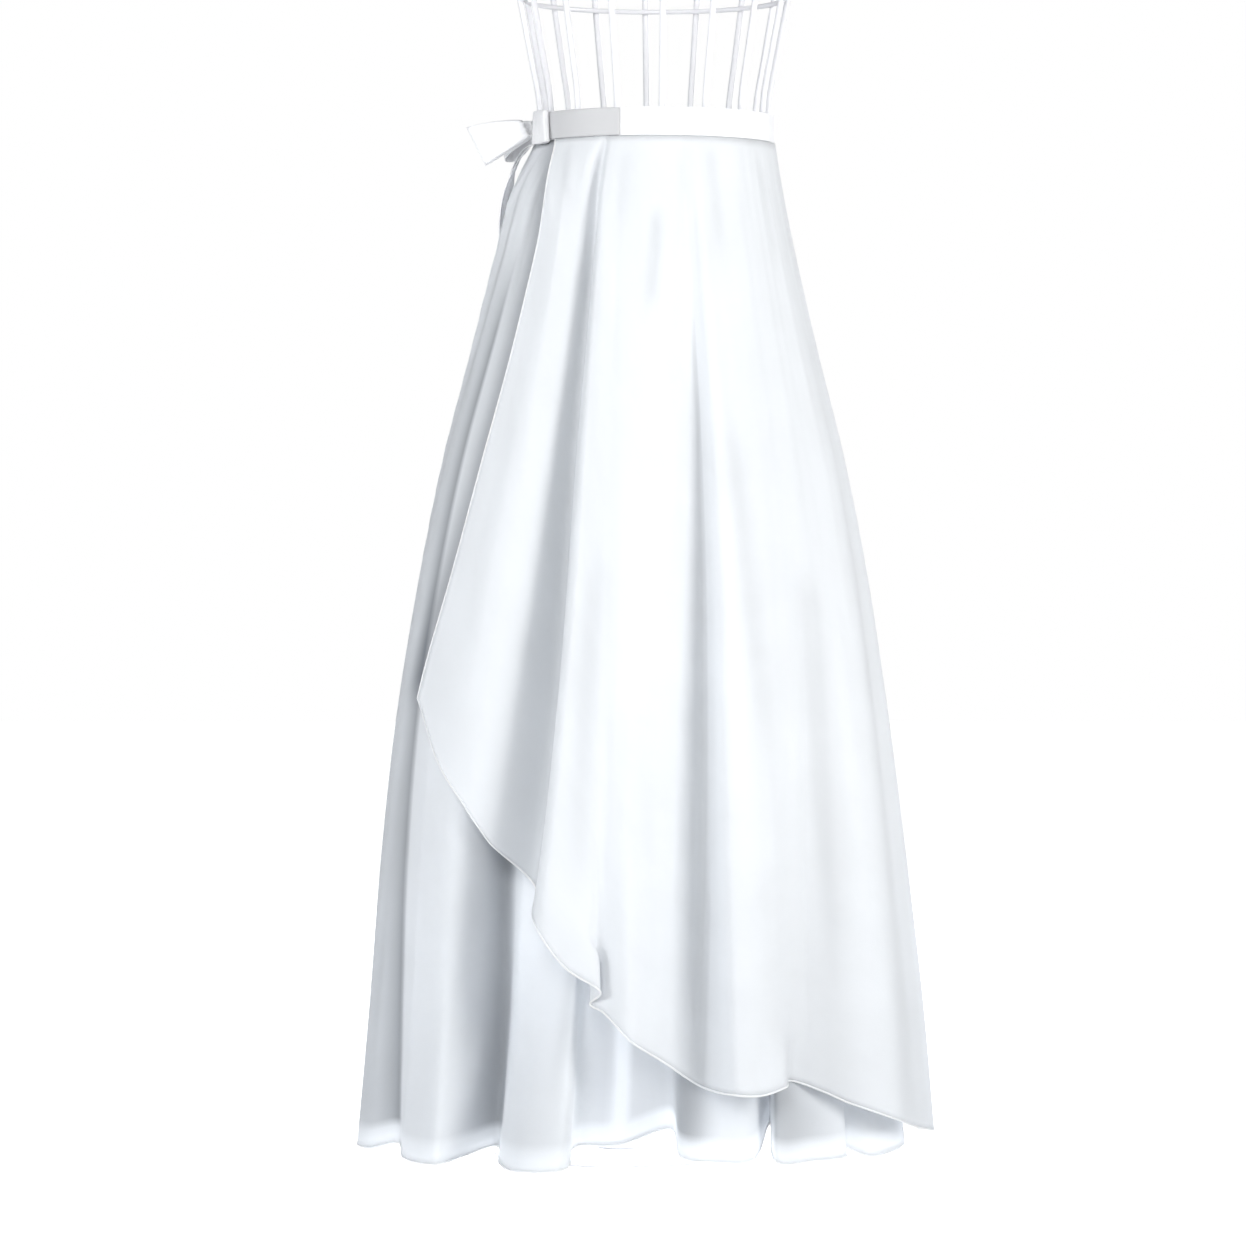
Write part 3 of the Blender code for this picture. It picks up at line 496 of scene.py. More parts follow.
def grid_faces(rows, columns, closed_rows=False, closed_columns=False):
    """Quads of a grid of points, in the order of its rows."""
    last_row = rows if closed_rows else rows - 1
    last_column = columns if closed_columns else columns - 1
    return [
        (
            r * columns + c,
            r * columns + (c + 1) % columns,
            (r + 1) % rows * columns + (c + 1) % columns,
            (r + 1) % rows * columns + c,
        )
        for r in range(last_row)
        for c in range(last_column)
    ]


def path_lengths(points):
    """The length run along the last axis but one of an array of points."""
    steps = np.linalg.norm(np.diff(points, axis=-2), axis=-1)
    start = np.zeros(steps.shape[:-1] + (1,))
    return np.concatenate([start, np.cumsum(steps, axis=-1)], axis=-1)


def add_sheet(name, grid, wall, material, offset=-1.0, painted_shade=None):
    """A thin shell through a grid of points, with a UV map in metres, counted up from the lower edge, and with the
    painted shade of each point, kept in the attribute Fold."""
    rows, columns = grid.shape[:2]
    obj = add_mesh(name, grid.reshape(-1, 3), grid_faces(rows, columns), material)
    across = path_lengths(grid)
    down = path_lengths(grid.transpose(1, 0, 2)).T
    place = np.stack([across[rows // 2][None, :].repeat(rows, 0), down[-1][None, :] - down], axis=-1)
    uv = obj.data.uv_layers.new(name="Weave")
    corners = np.empty(len(obj.data.loops), int)
    obj.data.loops.foreach_get("vertex_index", corners)
    uv.data.foreach_set("uv", place.reshape(-1, 2)[corners].ravel())
    if painted_shade is not None:
        # The attribute Fold holds painted shade and painted light, which the chiffon mixes into its colour.
        obj.data.attributes.new("Fold", "FLOAT", "POINT").data.foreach_set("value", painted_shade.ravel())
    solidify = obj.modifiers.new("Wall", "SOLIDIFY")
    solidify.thickness = wall
    solidify.offset = offset
    solidify.use_quality_normals = True
    apply_modifiers(obj)
    return obj


def add_tube(name, points, radius, sides, material, closed=False):
    """A round tube along a path, with its ends closed."""
    points = np.asarray(points, float)
    if closed:
        ahead, behind = np.roll(points, -1, axis=0), np.roll(points, 1, axis=0)
    else:
        ahead, behind = np.vstack([points[1:], points[-1:]]), np.vstack([points[:1], points[:-1]])
    along = ahead - behind
    along /= np.linalg.norm(along, axis=1)[:, None]
    side = np.cross(along[0], (0.0, 0.0, 1.0) if abs(along[0][2]) < 0.9 else (1.0, 0.0, 0.0))
    sides_of = []
    for direction in along:
        side = side - direction * side.dot(direction)
        side = side / np.linalg.norm(side)
        sides_of.append(side)
    side = np.array(sides_of)
    other = np.cross(along, side)
    turn = np.arange(sides) * 2.0 * math.pi / sides
    radius = np.broadcast_to(radius, len(points))
    ring = side[:, None] * np.cos(turn)[None, :, None] + other[:, None] * np.sin(turn)[None, :, None]
    grid = points[:, None] + ring * radius[:, None, None]
    faces = [face[::-1] for face in grid_faces(len(points), sides, closed, True)]
    if not closed:
        faces.append(tuple(range(sides))[::-1])
        faces.append(tuple(range((len(points) - 1) * sides, len(points) * sides)))
    obj = add_mesh(name, grid.reshape(-1, 3), faces, material)
    uv = obj.data.uv_layers.new(name="Weave")
    run = path_lengths(points)
    corners = np.empty(len(obj.data.loops), int)
    obj.data.loops.foreach_get("vertex_index", corners)
    place = np.stack([run[corners // sides], turn[corners % sides] * radius[corners // sides]], axis=-1)
    uv.data.foreach_set("uv", place.ravel())
    face_outward(obj)
    return obj


def face_outward(obj):
    shape = bmesh.new()
    shape.from_mesh(obj.data)
    bmesh.ops.recalc_face_normals(shape, faces=shape.faces)
    shape.to_mesh(obj.data)
    shape.free()


def add_ribbon(name, path, outward, up, width, wall, material, crown=0.0, taper=None):
    """A flat ribbon with soft folded edges, swept along a path that lies in its middle.

    outward and up are unit vectors at each point of the path. crown makes its face stand out in the middle."""
    path, outward, up = (np.asarray(value, float) for value in (path, outward, up))
    steps = 12
    half = width / 2 - wall / 2
    across = np.linspace(-1.0, 1.0, steps)
    turn = np.linspace(0.0, math.pi, 6)[1:-1]
    section = [(a * half, wall / 2 + crown * (1 - a * a)) for a in across]
    section += [(half + math.sin(t) * wall / 2, math.cos(t) * wall / 2) for t in turn]
    section += [(a * half, -wall / 2 + crown * (1 - a * a)) for a in across[::-1]]
    section += [(-half - math.sin(t) * wall / 2, -math.cos(t) * wall / 2) for t in turn]
    section = np.array(section)
    share = np.ones(len(path)) if taper is None else np.asarray(taper, float)
    grid = (
        path[:, None]
        + up[:, None] * (section[None, :, 0] * share[:, None])[..., None]
        + outward[:, None] * section[None, :, 1][..., None]
    )
    faces = grid_faces(len(path), len(section), closed_columns=True)
    faces.append(tuple(range(len(section)))[::-1])
    faces.append(tuple(range((len(path) - 1) * len(section), len(path) * len(section))))
    obj = add_mesh(name, grid.reshape(-1, 3), faces, material)
    uv = obj.data.uv_layers.new(name="Weave")
    run = path_lengths(path)
    corners = np.empty(len(obj.data.loops), int)
    obj.data.loops.foreach_get("vertex_index", corners)
    place = np.stack([run[corners // len(section)], section[corners % len(section), 0]], axis=-1)
    uv.data.foreach_set("uv", place.ravel())
    face_outward(obj)
    return obj


def add_stitches(name, points, outward, length, radius, material):
    """Short threads end to end along a path, each bedded half in the cloth."""
    points, outward = np.asarray(points, float), np.asarray(outward, float)
    run = path_lengths(points)
    pitch = length * 1.25
    count = int(run[-1] / pitch)
    starts = (np.arange(count) + 0.1) * pitch
    sides, rings = 6, ((0.0, 0.35), (0.2, 1.0), (0.8, 1.0), (1.0, 0.35))
    turn = np.arange(sides) * 2.0 * math.pi / sides
    verts, faces = [], []
    for start in starts:
        ends = [np.array([np.interp(s, run, points[:, k]) for k in range(3)]) for s in (start, start + length)]
        along = (ends[1] - ends[0]) / np.linalg.norm(ends[1] - ends[0])
        out = np.array([np.interp(start + length / 2, run, outward[:, k]) for k in range(3)])
        side = np.cross(along, out)
        first = len(verts)
        for share, size in rings:
            centre = ends[0] + (ends[1] - ends[0]) * share
            verts += [centre + (out * math.cos(t) + side * math.sin(t)) * radius * size for t in turn]
        faces += [tuple(first + i for i in face) for face in grid_faces(len(rings), sides, closed_columns=True)]
        faces.append(tuple(first + i for i in range(sides))[::-1])
        faces.append(tuple(first + (len(rings) - 1) * sides + i for i in range(sides)))
    obj = add_mesh(name, verts, faces, material)
    face_outward(obj)
    return obj


# Cloth panels


def body_degrees(points):
    """Angles round the body of points on the skirt."""
    x, y, z = np.moveaxis(points, -1, 0)
    heights = [row.height for row in SKIRT_OUTLINE]
    left, right, front, back = (
        smooth_value(z, heights, [getattr(row, side) for row in SKIRT_OUTLINE]) for side in Section._fields[1:]
    )
    across = (x - BODY_X) / np.where(x < BODY_X, left, right)
    along = -y / np.where(y < 0, front, back)
    return np.degrees(np.arctan2(across, along))


def soft_step(value):
    value = np.clip(value, 0.0, 1.0)
    return value * value * (3 - 2 * value)


def crease_rise(name, points):
    degrees = body_degrees(points)
    radius = np.hypot(points[..., 0] - BODY_X, points[..., 1])
    rise = np.zeros(points.shape[:2])
    for crease in CREASES:
        if crease.panel != name:
            continue
        share = (crease.top - points[..., 2]) / (crease.top - crease.foot)
        middle = crease.top_at + (crease.foot_at - crease.top_at) * share
        middle = middle + crease.bow * 4 * share * (1 - share)
        aside = np.radians((degrees - middle + 180.0) % 360.0 - 180.0) * radius
        fade = soft_step(share / 0.2) * soft_step((1 - share) / 0.4)
        rise += crease.rise * np.exp(-((aside / crease.width) ** 2)) * fade
    return rise


def ripple_rise(points, height):
    """Small ripples that run down the cloth and grow out of the band."""
    middle = points.shape[0] // 2
    across = path_lengths(points)[middle][None, :]
    drop = SKIRT_TOP - points[..., 2]
    rise = sum(
        ripple.share * np.sin(2 * math.pi * (across / ripple.across + drop / ripple.down) + ripple.phase)
        for ripple in RIPPLES
    )
    return height * rise * (1.0 - np.exp(-drop / RIPPLE_START))


def seam_rise(points, at_start, at_end):
    """The allowances of a side seam lift the cloth along it, with a slight pucker."""
    across = path_lengths(points)
    rise = np.zeros(points.shape[:2])
    for beside, there in ((across, at_start), (across[:, -1:] - across, at_end)):
        if there:
            pucker = SEAM_PUCKER * np.sin(2 * math.pi * points[..., 2] / SEAM_PUCKER_PITCH)
            rise += (SEAM_RISE + pucker) * np.exp(-((beside / SEAM_BREADTH) ** 2))
            rise -= (SEAM_RISE + SEAM_PUCKER) * np.exp(-((beside / (SEAM_BREADTH / 4)) ** 2))
    return rise


def valley_shares(grid, place, valley):
    """How much of a deep fold each point lies in: a long slope on its left, a short one on its right."""
    across = path_lengths(grid)
    middle = np.array([np.interp(valley.fold, row_place, row) for row_place, row in zip(place, across)])
    aside = across - middle[:, None]
    down = np.clip((valley.top - grid[..., 2]) / (valley.top - valley.foot), 0.0, 1.2)
    breadth = np.where(aside > 0, valley.left, valley.right) * (0.25 + 0.75 * down)
    slope = np.clip(1.0 - np.abs(aside) / breadth, 0.0, 1.0)
    slope = np.where(aside > 0, slope**1.4, soft_step(slope))
    return slope * soft_step(down / 0.12)


def outward_normals(grid):
    along, down = np.gradient(grid, axis=1), np.gradient(grid, axis=0)
    normal = np.cross(along, down)
    return normal / np.linalg.norm(normal, axis=-1)[..., None]


def free_edge_ends(heights):
    """Where the over panel ends at each height: its free edge turns in a little between band and corner."""
    turned = smooth_value(heights, [row.height for row in EDGE_TURNS], [row.inward for row in EDGE_TURNS])
    places = np.linspace(FREE_EDGE_AT - 3.0, FREE_EDGE_AT, 200)
    ends = []
    for height, inward in zip(heights, turned):
        x = np.maximum.accumulate(wrap_point(places, np.full(len(places), height))[::-1, 0])
        ends.append(np.interp(x[0] + max(0.0, inward), x, places[::-1]))
    return np.array(ends)


def free_edge_shade(grid):
    """How much painted shadow the over panel's free edge puts on the cloth that runs in under it."""
    heights = grid[:, 0, 2]
    edge = wrap_point(free_edge_ends(heights), heights)
    aside = edge[:, None, 0] - grid[..., 0]
    near = soft_step(1.0 - aside / EDGE_SHADE_REACH) * soft_step(1.0 + aside / 0.12)
    return near * soft_step((grid[..., 2] - EDGE_SHADE_FOOT) / 0.04) * (grid[..., 1] < 0.0)


def panel_surface(panel, columns_per_fold, rows, ripple):
    """The panel's points, finer than the solid's, with its creases, ripples and seams, and the painted shade of each
    point.
    """
    place = np.linspace(panel.start, panel.end, (panel.end - panel.start) * columns_per_fold + 1)
    down = np.linspace(0.0, 1.0, rows)[:, None]
    place = np.repeat(place[None, :], rows, axis=0)
    if panel.end == FREE_EDGE_AT:
        height = SKIRT_TOP + (cut_height(place[0, -1:]) - SKIRT_TOP) * down[:, 0]
        ends = free_edge_ends(height)
        place = panel.start + (place - panel.start) * ((ends - panel.start) / (panel.end - panel.start))[:, None]
    height = SKIRT_TOP + (np.array([cut_height(row) for row in place]) - SKIRT_TOP) * down
    for column, seam, side in ((0, panel.start, 1), (-1, panel.end, -1)):
        if seam in (LEFT_SEAM_AT, RIGHT_SEAM_AT):
            edge, beside = (np.stack(fold_point(seam + step, height[:, column]), -1) for step in (0, side))
            place[:, column] += side * SEAM_HALF_GAP / np.linalg.norm(beside - edge, axis=-1)
    grid = np.concatenate([wrap_point(place, height), height[..., None]], axis=-1)
    for start, end in SOFT_STRETCHES.get(panel.name, ()):
        inside = soft_step((place - start) / 0.4) * soft_step((end - place) / 0.4)
        inside = inside * soft_step((grid[..., 2] - grid[-1, :, 2] - SOFT_HEM) / SOFT_HEM)
        for _ in range(SOFT_PASSES):
            middle = (grid[:, :-2] + grid[:, 2:]) / 4 + grid[:, 1:-1] / 2
            grid[:, 1:-1] += (middle - grid[:, 1:-1]) * inside[:, 1:-1, None]
    creases = crease_rise(panel.name, grid)
    rise = creases + ripple_rise(grid, ripple)
    # light is painted light and shade for the cloth's colour: darker towards the bottom, in sunken creases and on the
    # under and back panels.
    light = 1.0 - LOW_SHADE * soft_step(1.0 - grid[..., 2] / LOW_SHADE_TOP)
    light *= 1.0 - np.clip(-creases * CREASE_SHADE, 0.0, 0.3)
    if panel.name != "over_front":
        light *= 1.0 - UNDER_SHADE
    # The deep folds add painted shade, or painted light where their shade is negative.
    for valley in VALLEYS:
        if valley.panel == panel.name:
            share = valley_shares(grid, place, valley)
            rise += valley.rise * share
            light *= 1.0 - valley.shade * share
    # A painted shadow of the over panel's free edge on the under panel.
    if panel.name == "under_front":
        light *= 1.0 - EDGE_SHADE * free_edge_shade(grid)
    # Most of the painted shade is left out of the doubled hem band, so the hem looks whiter.
    if panel.name != "over_front":
        hem = soft_step(1.0 - (grid[..., 2] - grid[-1, :, 2] - HEM_DEPTH) / 0.002)
        light = 1.0 - (1.0 - light) * (1.0 - (1.0 - HEM_LIGHT) * hem)
    rise += seam_rise(grid, panel.start in (LEFT_SEAM_AT, RIGHT_SEAM_AT), panel.end in (LEFT_SEAM_AT, RIGHT_SEAM_AT))
    return grid + outward_normals(grid) * rise[..., None], 1.0 - light


# Materials


def new_material(name):
    material = bpy.data.materials.get(name)
    if material is None:
        material = bpy.data.materials.new(name)
        material.use_nodes = True
        material.node_tree.nodes.clear()
    return material


def add_node(tree, kind, at, **values):
    node = tree.nodes.new(kind)
    node.location = at
    for name, value in values.items():
        if name in node.inputs:
            node.inputs[name].default_value = value
        else:
            setattr(node, name, value)
    return node


def new_group(name, inputs, outputs):
    group = bpy.data.node_groups.new(name, "ShaderNodeTree")
    for socket, kind, default in inputs:
        made = group.interface.new_socket(socket, in_out="INPUT", socket_type=kind)
        if default is not None:
            made.default_value = default
    for socket in outputs:
        group.interface.new_socket(socket, in_out="OUTPUT", socket_type="NodeSocketFloat")
    return group, add_node(group, "NodeGroupInput", (-700, 0)), add_node(group, "NodeGroupOutput", (700, 0))


def threads_group():
    """Warp and weft of a fine cloth out of a UV map in metres, with a broad unevenness as Tone."""
    name = "Cloth threads"
    if name in bpy.data.node_groups:
        return bpy.data.node_groups[name]
    group, start, end = new_group(
        name,
        (
            ("Vector", "NodeSocketVector", None),
            ("Threads", "NodeSocketFloat", 400.0),
            ("Slub", "NodeSocketFloat", 300.0),
            ("Patch", "NodeSocketFloat", 18.0),
        ),
        ("Height", "Tone"),
    )
    link = group.links.new
    warp = add_node(group, "ShaderNodeTexWave", (-400, 200), bands_direction="X", Distortion=1.2, Detail=1.0)
    weft = add_node(group, "ShaderNodeTexWave", (-400, -80), bands_direction="Y", Distortion=1.2, Detail=1.0)
    slub = add_node(group, "ShaderNodeTexNoise", (-400, -340), Detail=3.0, Roughness=0.6)
    patch = add_node(group, "ShaderNodeTexNoise", (-400, -600), Detail=4.0, Roughness=0.55)
    for texture, scale in ((warp, "Threads"), (weft, "Threads"), (slub, "Slub"), (patch, "Patch")):
        link(start.outputs["Vector"], texture.inputs["Vector"])
        link(start.outputs[scale], texture.inputs["Scale"])
    weave = add_node(group, "ShaderNodeMath", (-100, 100), operation="MAXIMUM")
    link(warp.outputs["Fac"], weave.inputs[0])
    link(weft.outputs["Fac"], weave.inputs[1])
    grain = add_node(group, "ShaderNodeMath", (100, 0), operation="MULTIPLY_ADD")
    grain.inputs[1].default_value = 0.45
    link(weave.outputs[0], grain.inputs[0])
    link(slub.outputs["Fac"], grain.inputs[2])
    link(grain.outputs[0], end.inputs["Height"])
    link(patch.outputs["Fac"], end.inputs["Tone"])
    return group


def cloth_nodes(material, tree_at, threads, slub, patch):
    """UV map and thread group of a cloth material."""
    tree = material.node_tree
    uv = add_node(tree, "ShaderNodeUVMap", (tree_at - 400, 0), uv_map="Weave")
    weave = add_node(tree, "ShaderNodeGroup", (tree_at - 200, 0), node_tree=threads_group())
    for name, value in (("Threads", threads), ("Slub", slub), ("Patch", patch)):
        weave.inputs[name].default_value = value
    tree.links.new(uv.outputs["UV"], weave.inputs["Vector"])
    return uv, weave


# The colour of the painted shade, as shares of the cloth's colour.
FOLD_SHADE = (0.0, 0.02, 0.05)


def colour_socket(sockets):
    return [socket for socket in sockets if socket.type == "RGBA"][0]


def chiffon_material(name, settings, shade=1.0, facing=True):
    """Sheer crepe: matt, lit a little from behind, with the painted shade of the Fold attribute mixed into its
    colour, which is mostly left out of the doubled hem.
    """
    material = new_material(name)
    tree = material.node_tree
    if tree.nodes:
        return material
    link = tree.links.new
    uv, weave = cloth_nodes(material, -500, settings.weave_scale, 380.0, 14.0)
    colour = [channel * shade for channel in settings.chiffon_colour]
    paler = [min(1.0, channel * 1.03) for channel in colour]
    tone = add_node(tree, "ShaderNodeMapRange", (-480, 160))
    tone.inputs["From Min"].default_value = 0.35
    tone.inputs["From Max"].default_value = 0.65
    link(weave.outputs["Tone"], tone.inputs["Value"])
    cloth = add_node(tree, "ShaderNodeMix", (-280, 160), data_type="RGBA")
    cloth.inputs["A"].default_value = (*colour, 1.0)
    cloth.inputs["B"].default_value = (*paler, 1.0)
    for socket in cloth.inputs:
        if socket.type == "RGBA":
            socket.default_value = (*colour, 1.0) if socket.name == "A" else (*paler, 1.0)
    link(tone.outputs["Result"], cloth.inputs[0])
    # The Fold attribute blends the cloth towards the painted shade colour, and lighter where it is negative.
    depth = add_node(tree, "ShaderNodeAttribute", (-480, 420), attribute_name="Fold")
    shaded = add_node(tree, "ShaderNodeMix", (-140, 300), data_type="RGBA")
    for socket in shaded.inputs:
        if socket.type == "RGBA" and socket.name == "B":
            socket.default_value = (*(channel * dark for channel, dark in zip(colour, FOLD_SHADE)), 1.0)
    link(depth.outputs["Fac"], shaded.inputs[0])
    link(colour_socket(cloth.outputs), [s for s in shaded.inputs if s.type == "RGBA" and s.name == "A"][0])
    result = colour_socket(shaded.outputs)
    bump = add_node(tree, "ShaderNodeBump", (-280, -160), Strength=0.35, Distance=0.0003)
    link(weave.outputs["Height"], bump.inputs["Height"])
    shader = add_node(tree, "ShaderNodeBsdfPrincipled", (0, 160), Roughness=0.82)
    shader.inputs["Specular IOR Level"].default_value = 0.25
    shader.inputs["Sheen Weight"].default_value = 0.25
    shader.inputs["Sheen Roughness"].default_value = 0.45
    through = add_node(tree, "ShaderNodeBsdfTranslucent", (0, -240))
    blend = add_node(tree, "ShaderNodeMixShader", (280, 0))
    blend.inputs[0].default_value = settings.translucence
    out = add_node(tree, "ShaderNodeOutputMaterial", (480, 0))
    link(result, shader.inputs["Base Color"])
    link(result, through.inputs["Color"])
    link(bump.outputs["Normal"], shader.inputs["Normal"])
    link(bump.outputs["Normal"], through.inputs["Normal"])
    link(shader.outputs["BSDF"], blend.inputs[1])
    link(through.outputs["BSDF"], blend.inputs[2])
    link(blend.outputs["Shader"], out.inputs["Surface"])
    return material


def ribbon_material(name, settings, shade=1.0):
    """Satin: long floats of thread along the ribbon, with a soft streaked gloss."""
    material = new_material(name)
    tree = material.node_tree
    if tree.nodes:
        return material
    link = tree.links.new
    uv, weave = cloth_nodes(material, -500, settings.satin_scale, 500.0, 30.0)
    colour = [channel * shade for channel in settings.ribbon_colour]
    paler = [min(1.0, channel * 1.04) for channel in colour]
    cloth = add_node(tree, "ShaderNodeMix", (-280, 160), data_type="RGBA")
    for socket in cloth.inputs:
        if socket.type == "RGBA":
            socket.default_value = (*colour, 1.0) if socket.name == "A" else (*paler, 1.0)
    link(weave.outputs["Tone"], cloth.inputs[0])
    gloss = add_node(tree, "ShaderNodeMapRange", (-280, -20))
    gloss.inputs["To Min"].default_value = 0.34
    gloss.inputs["To Max"].default_value = 0.50
    link(weave.outputs["Tone"], gloss.inputs["Value"])
    bump = add_node(tree, "ShaderNodeBump", (-280, -260), Strength=0.3, Distance=0.0002)
    link(weave.outputs["Height"], bump.inputs["Height"])
    shader = add_node(tree, "ShaderNodeBsdfPrincipled", (0, 160))
    shader.inputs["Specular IOR Level"].default_value = 0.45
    shader.inputs["Anisotropic"].default_value = 0.4
    shader.inputs["Sheen Weight"].default_value = 0.15
    out = add_node(tree, "ShaderNodeOutputMaterial", (300, 0))
    link([socket for socket in cloth.outputs if socket.type == "RGBA"][0], shader.inputs["Base Color"])
    link(gloss.outputs["Result"], shader.inputs["Roughness"])
    link(bump.outputs["Normal"], shader.inputs["Normal"])
    link(shader.outputs["BSDF"], out.inputs["Surface"])
    return material


def enamel_material(name, settings):
    """White powder coat: a fine orange peel under a soft gloss, a little greyer in patches."""
    material = new_material(name)
    tree = material.node_tree
    if tree.nodes:
        return material
    link = tree.links.new
    place = add_node(tree, "ShaderNodeTexCoord", (-900, 0))
    peel = add_node(tree, "ShaderNodeTexNoise", (-680, -160), Scale=settings.peel_scale, Detail=2.0)
    patch = add_node(tree, "ShaderNodeTexNoise", (-680, 160), Scale=9.0, Detail=5.0)
    link(place.outputs["Object"], peel.inputs["Vector"])
    link(place.outputs["Object"], patch.inputs["Vector"])
    colour = list(settings.enamel_colour)
    duller = [channel * 0.93 for channel in colour]
    coat = add_node(tree, "ShaderNodeMix", (-400, 160), data_type="RGBA")
    for socket in coat.inputs:
        if socket.type == "RGBA":
            socket.default_value = (*colour, 1.0) if socket.name == "A" else (*duller, 1.0)
    link(patch.outputs["Fac"], coat.inputs[0])
    gloss = add_node(tree, "ShaderNodeMapRange", (-400, -20))
    gloss.inputs["To Min"].default_value = 0.24
    gloss.inputs["To Max"].default_value = 0.42
    link(patch.outputs["Fac"], gloss.inputs["Value"])
    bump = add_node(tree, "ShaderNodeBump", (-400, -260), Strength=0.12, Distance=0.0002)
    link(peel.outputs["Fac"], bump.inputs["Height"])
    shader = add_node(tree, "ShaderNodeBsdfPrincipled", (0, 160))
    shader.inputs["Coat Weight"].default_value = 0.3
    shader.inputs["Coat Roughness"].default_value = 0.15
    out = add_node(tree, "ShaderNodeOutputMaterial", (300, 0))
    link([socket for socket in coat.outputs if socket.type == "RGBA"][0], shader.inputs["Base Color"])
    link(gloss.outputs["Result"], shader.inputs["Roughness"])
    link(bump.outputs["Normal"], shader.inputs["Normal"])
    link(shader.outputs["BSDF"], out.inputs["Surface"])
    return material


# Settings


class SkirtClothSettings(bpy.types.PropertyGroup):
    chiffon_colour: FloatVectorProperty(
        name="Chiffon", description="Colour of the skirt's cloth", subtype="COLOR", default=(0.92, 0.94, 0.965),
        min=0.0, max=1.0)
    cloth_wall: FloatProperty(
        name="Cloth thickness", description="Thickness of the chiffon", unit="LENGTH", default=0.0004,
        min=0.0002, max=0.001)
    hem_radius: FloatProperty(
        name="Hem roll", description="Half the thickness of the rolled hem", unit="LENGTH", default=0.0010,
        min=0.0003, max=0.003)
    ripple: FloatProperty(
        name="Ripple", description="How far the small ripples stand out", unit="LENGTH", default=0.00035,
        min=0.0, max=0.002)
    weave_scale: FloatProperty(
        name="Weave scale", description="Scale of the chiffon's threads", default=420.0, min=50.0, max=1500.0)
    translucence: FloatProperty(
        name="Translucence", description="Share of light that passes through the chiffon", subtype="FACTOR",
        default=0.28, min=0.0, max=1.0)
    columns: IntProperty(
        name="Columns", description="Points round the body for each fold line", default=8, min=2, max=16)
    rows: IntProperty(name="Rows", description="Points down each panel", default=120, min=12, max=300)


class SkirtRibbonSettings(bpy.types.PropertyGroup):
    ribbon_colour: FloatVectorProperty(
        name="Satin", description="Colour of the band, the ties and the bow", subtype="COLOR",
        default=(0.92, 0.925, 0.945), min=0.0, max=1.0)
    satin_scale: FloatProperty(
        name="Satin scale", description="Scale of the satin's threads", default=700.0, min=50.0, max=2000.0)
    # Painted shade: the tie's satin is a darker copy of the band's, and this value is the share of the colour it
    # keeps.
    tie_painted_shade: FloatProperty(
        name="Tie shade", description="How much greyer the tie is than the band", subtype="FACTOR",
        default=0.58, min=0.3, max=1.0)
    # Painted shade: the knot's satin is a darker copy of the band's, and this value is the share of the colour it
    # keeps.
    knot_painted_shade: FloatProperty(
        name="Knot shade", description="How much greyer the knot is than the band", subtype="FACTOR",
        default=0.80, min=0.3, max=1.0)
    stitch_length: FloatProperty(
        name="Stitch", description="Length of one topstitch", unit="LENGTH", default=0.0026, min=0.001, max=0.01)
    stitch_radius: FloatProperty(
        name="Thread", description="Half the thickness of the thread", unit="LENGTH", default=0.0002,
        min=0.0001, max=0.001)


class SkirtFormSettings(bpy.types.PropertyGroup):
    enamel_colour: FloatVectorProperty(
        name="Powder coat", description="Colour of the dress form", subtype="COLOR", default=(0.84, 0.84, 0.87),
        min=0.0, max=1.0)
    peel_scale: FloatProperty(
        name="Orange peel", description="Scale of the coat's fine texture", default=1400.0, min=100.0, max=4000.0)
    tube_sides: IntProperty(name="Tube sides", description="Sides of a wire", default=16, min=8, max=32)
    weld_radius: FloatProperty(
        name="Weld", description="Half the size of a weld bead", unit="LENGTH", default=0.0026, min=0.001, max=0.01)


class SkirtStageSettings(bpy.types.PropertyGroup):
    floor_colour: FloatVectorProperty(
        name="Floor", description="Colour of the floor", subtype="COLOR", default=(0.97, 0.97, 0.975),
        min=0.0, max=1.0)
    floor_glow: FloatProperty(
        name="Floor glow", description="How bright the floor itself looks", default=1.0, min=0.0, max=2.0)
    floor_bounce: FloatProperty(
        name="Floor bounce", description="Light that the floor gives the object", default=0.10, min=0.0, max=2.0)
    key_power: FloatProperty(
        name="Key", description="Power of the main light", unit="POWER", default=163.0, min=0.0, max=2000.0)
    sky: FloatProperty(
        name="Ambient", description="Strength of the light from all round", default=0.16, min=0.0, max=2.0)


# Operators


class SKIRT_OT_panels(bpy.types.Operator):
    """Model the three panels of cloth with their rolled hems"""

    bl_idname = "skirt.panels"
    bl_label = "Cloth panels"

    def execute(self, context):
        settings = context.scene.skirt_cloth
        material = chiffon_material("crepe chiffon", settings, 1.0)
        hem_material = chiffon_material("crepe chiffon hem", settings, 1.06)
        for panel in PANELS:
            grid, painted_shade = panel_surface(panel, settings.columns, settings.rows, settings.ripple)
            obj = add_sheet(panel.name + "_cloth", grid, settings.cloth_wall, material, painted_shade=painted_shade)
            finish_piece(obj, "chiffon", panel.name)
            edge = grid[-1]
            if panel.name == "under_front":
                edge = np.concatenate([grid[:, 0], edge[1:]])
            if panel.name == "over_front":
                edge = np.concatenate([edge, grid[::-1, -1][1:]])
            inward = edge.copy()
            hem = add_tube(panel.name + "_hem", inward, settings.hem_radius, 8, hem_material)
            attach(hem, "root")
        return {"FINISHED"}


def band_line(degrees, outward, height):
    """Points, outward directions and upright directions along the waist."""
    x, y = band_point(degrees, outward)
    path = np.stack([x, y, np.broadcast_to(height, x.shape)], axis=-1)
    out = np.stack([np.sin(np.radians(degrees)) / BAND_HALF_WIDTH, -np.cos(np.radians(degrees)) / BAND_HALF_DEPTH,
                    np.zeros_like(x)], axis=-1)
    out /= np.linalg.norm(out, axis=-1)[:, None]
    return path, out, np.broadcast_to((0.0, 0.0, 1.0), path.shape)


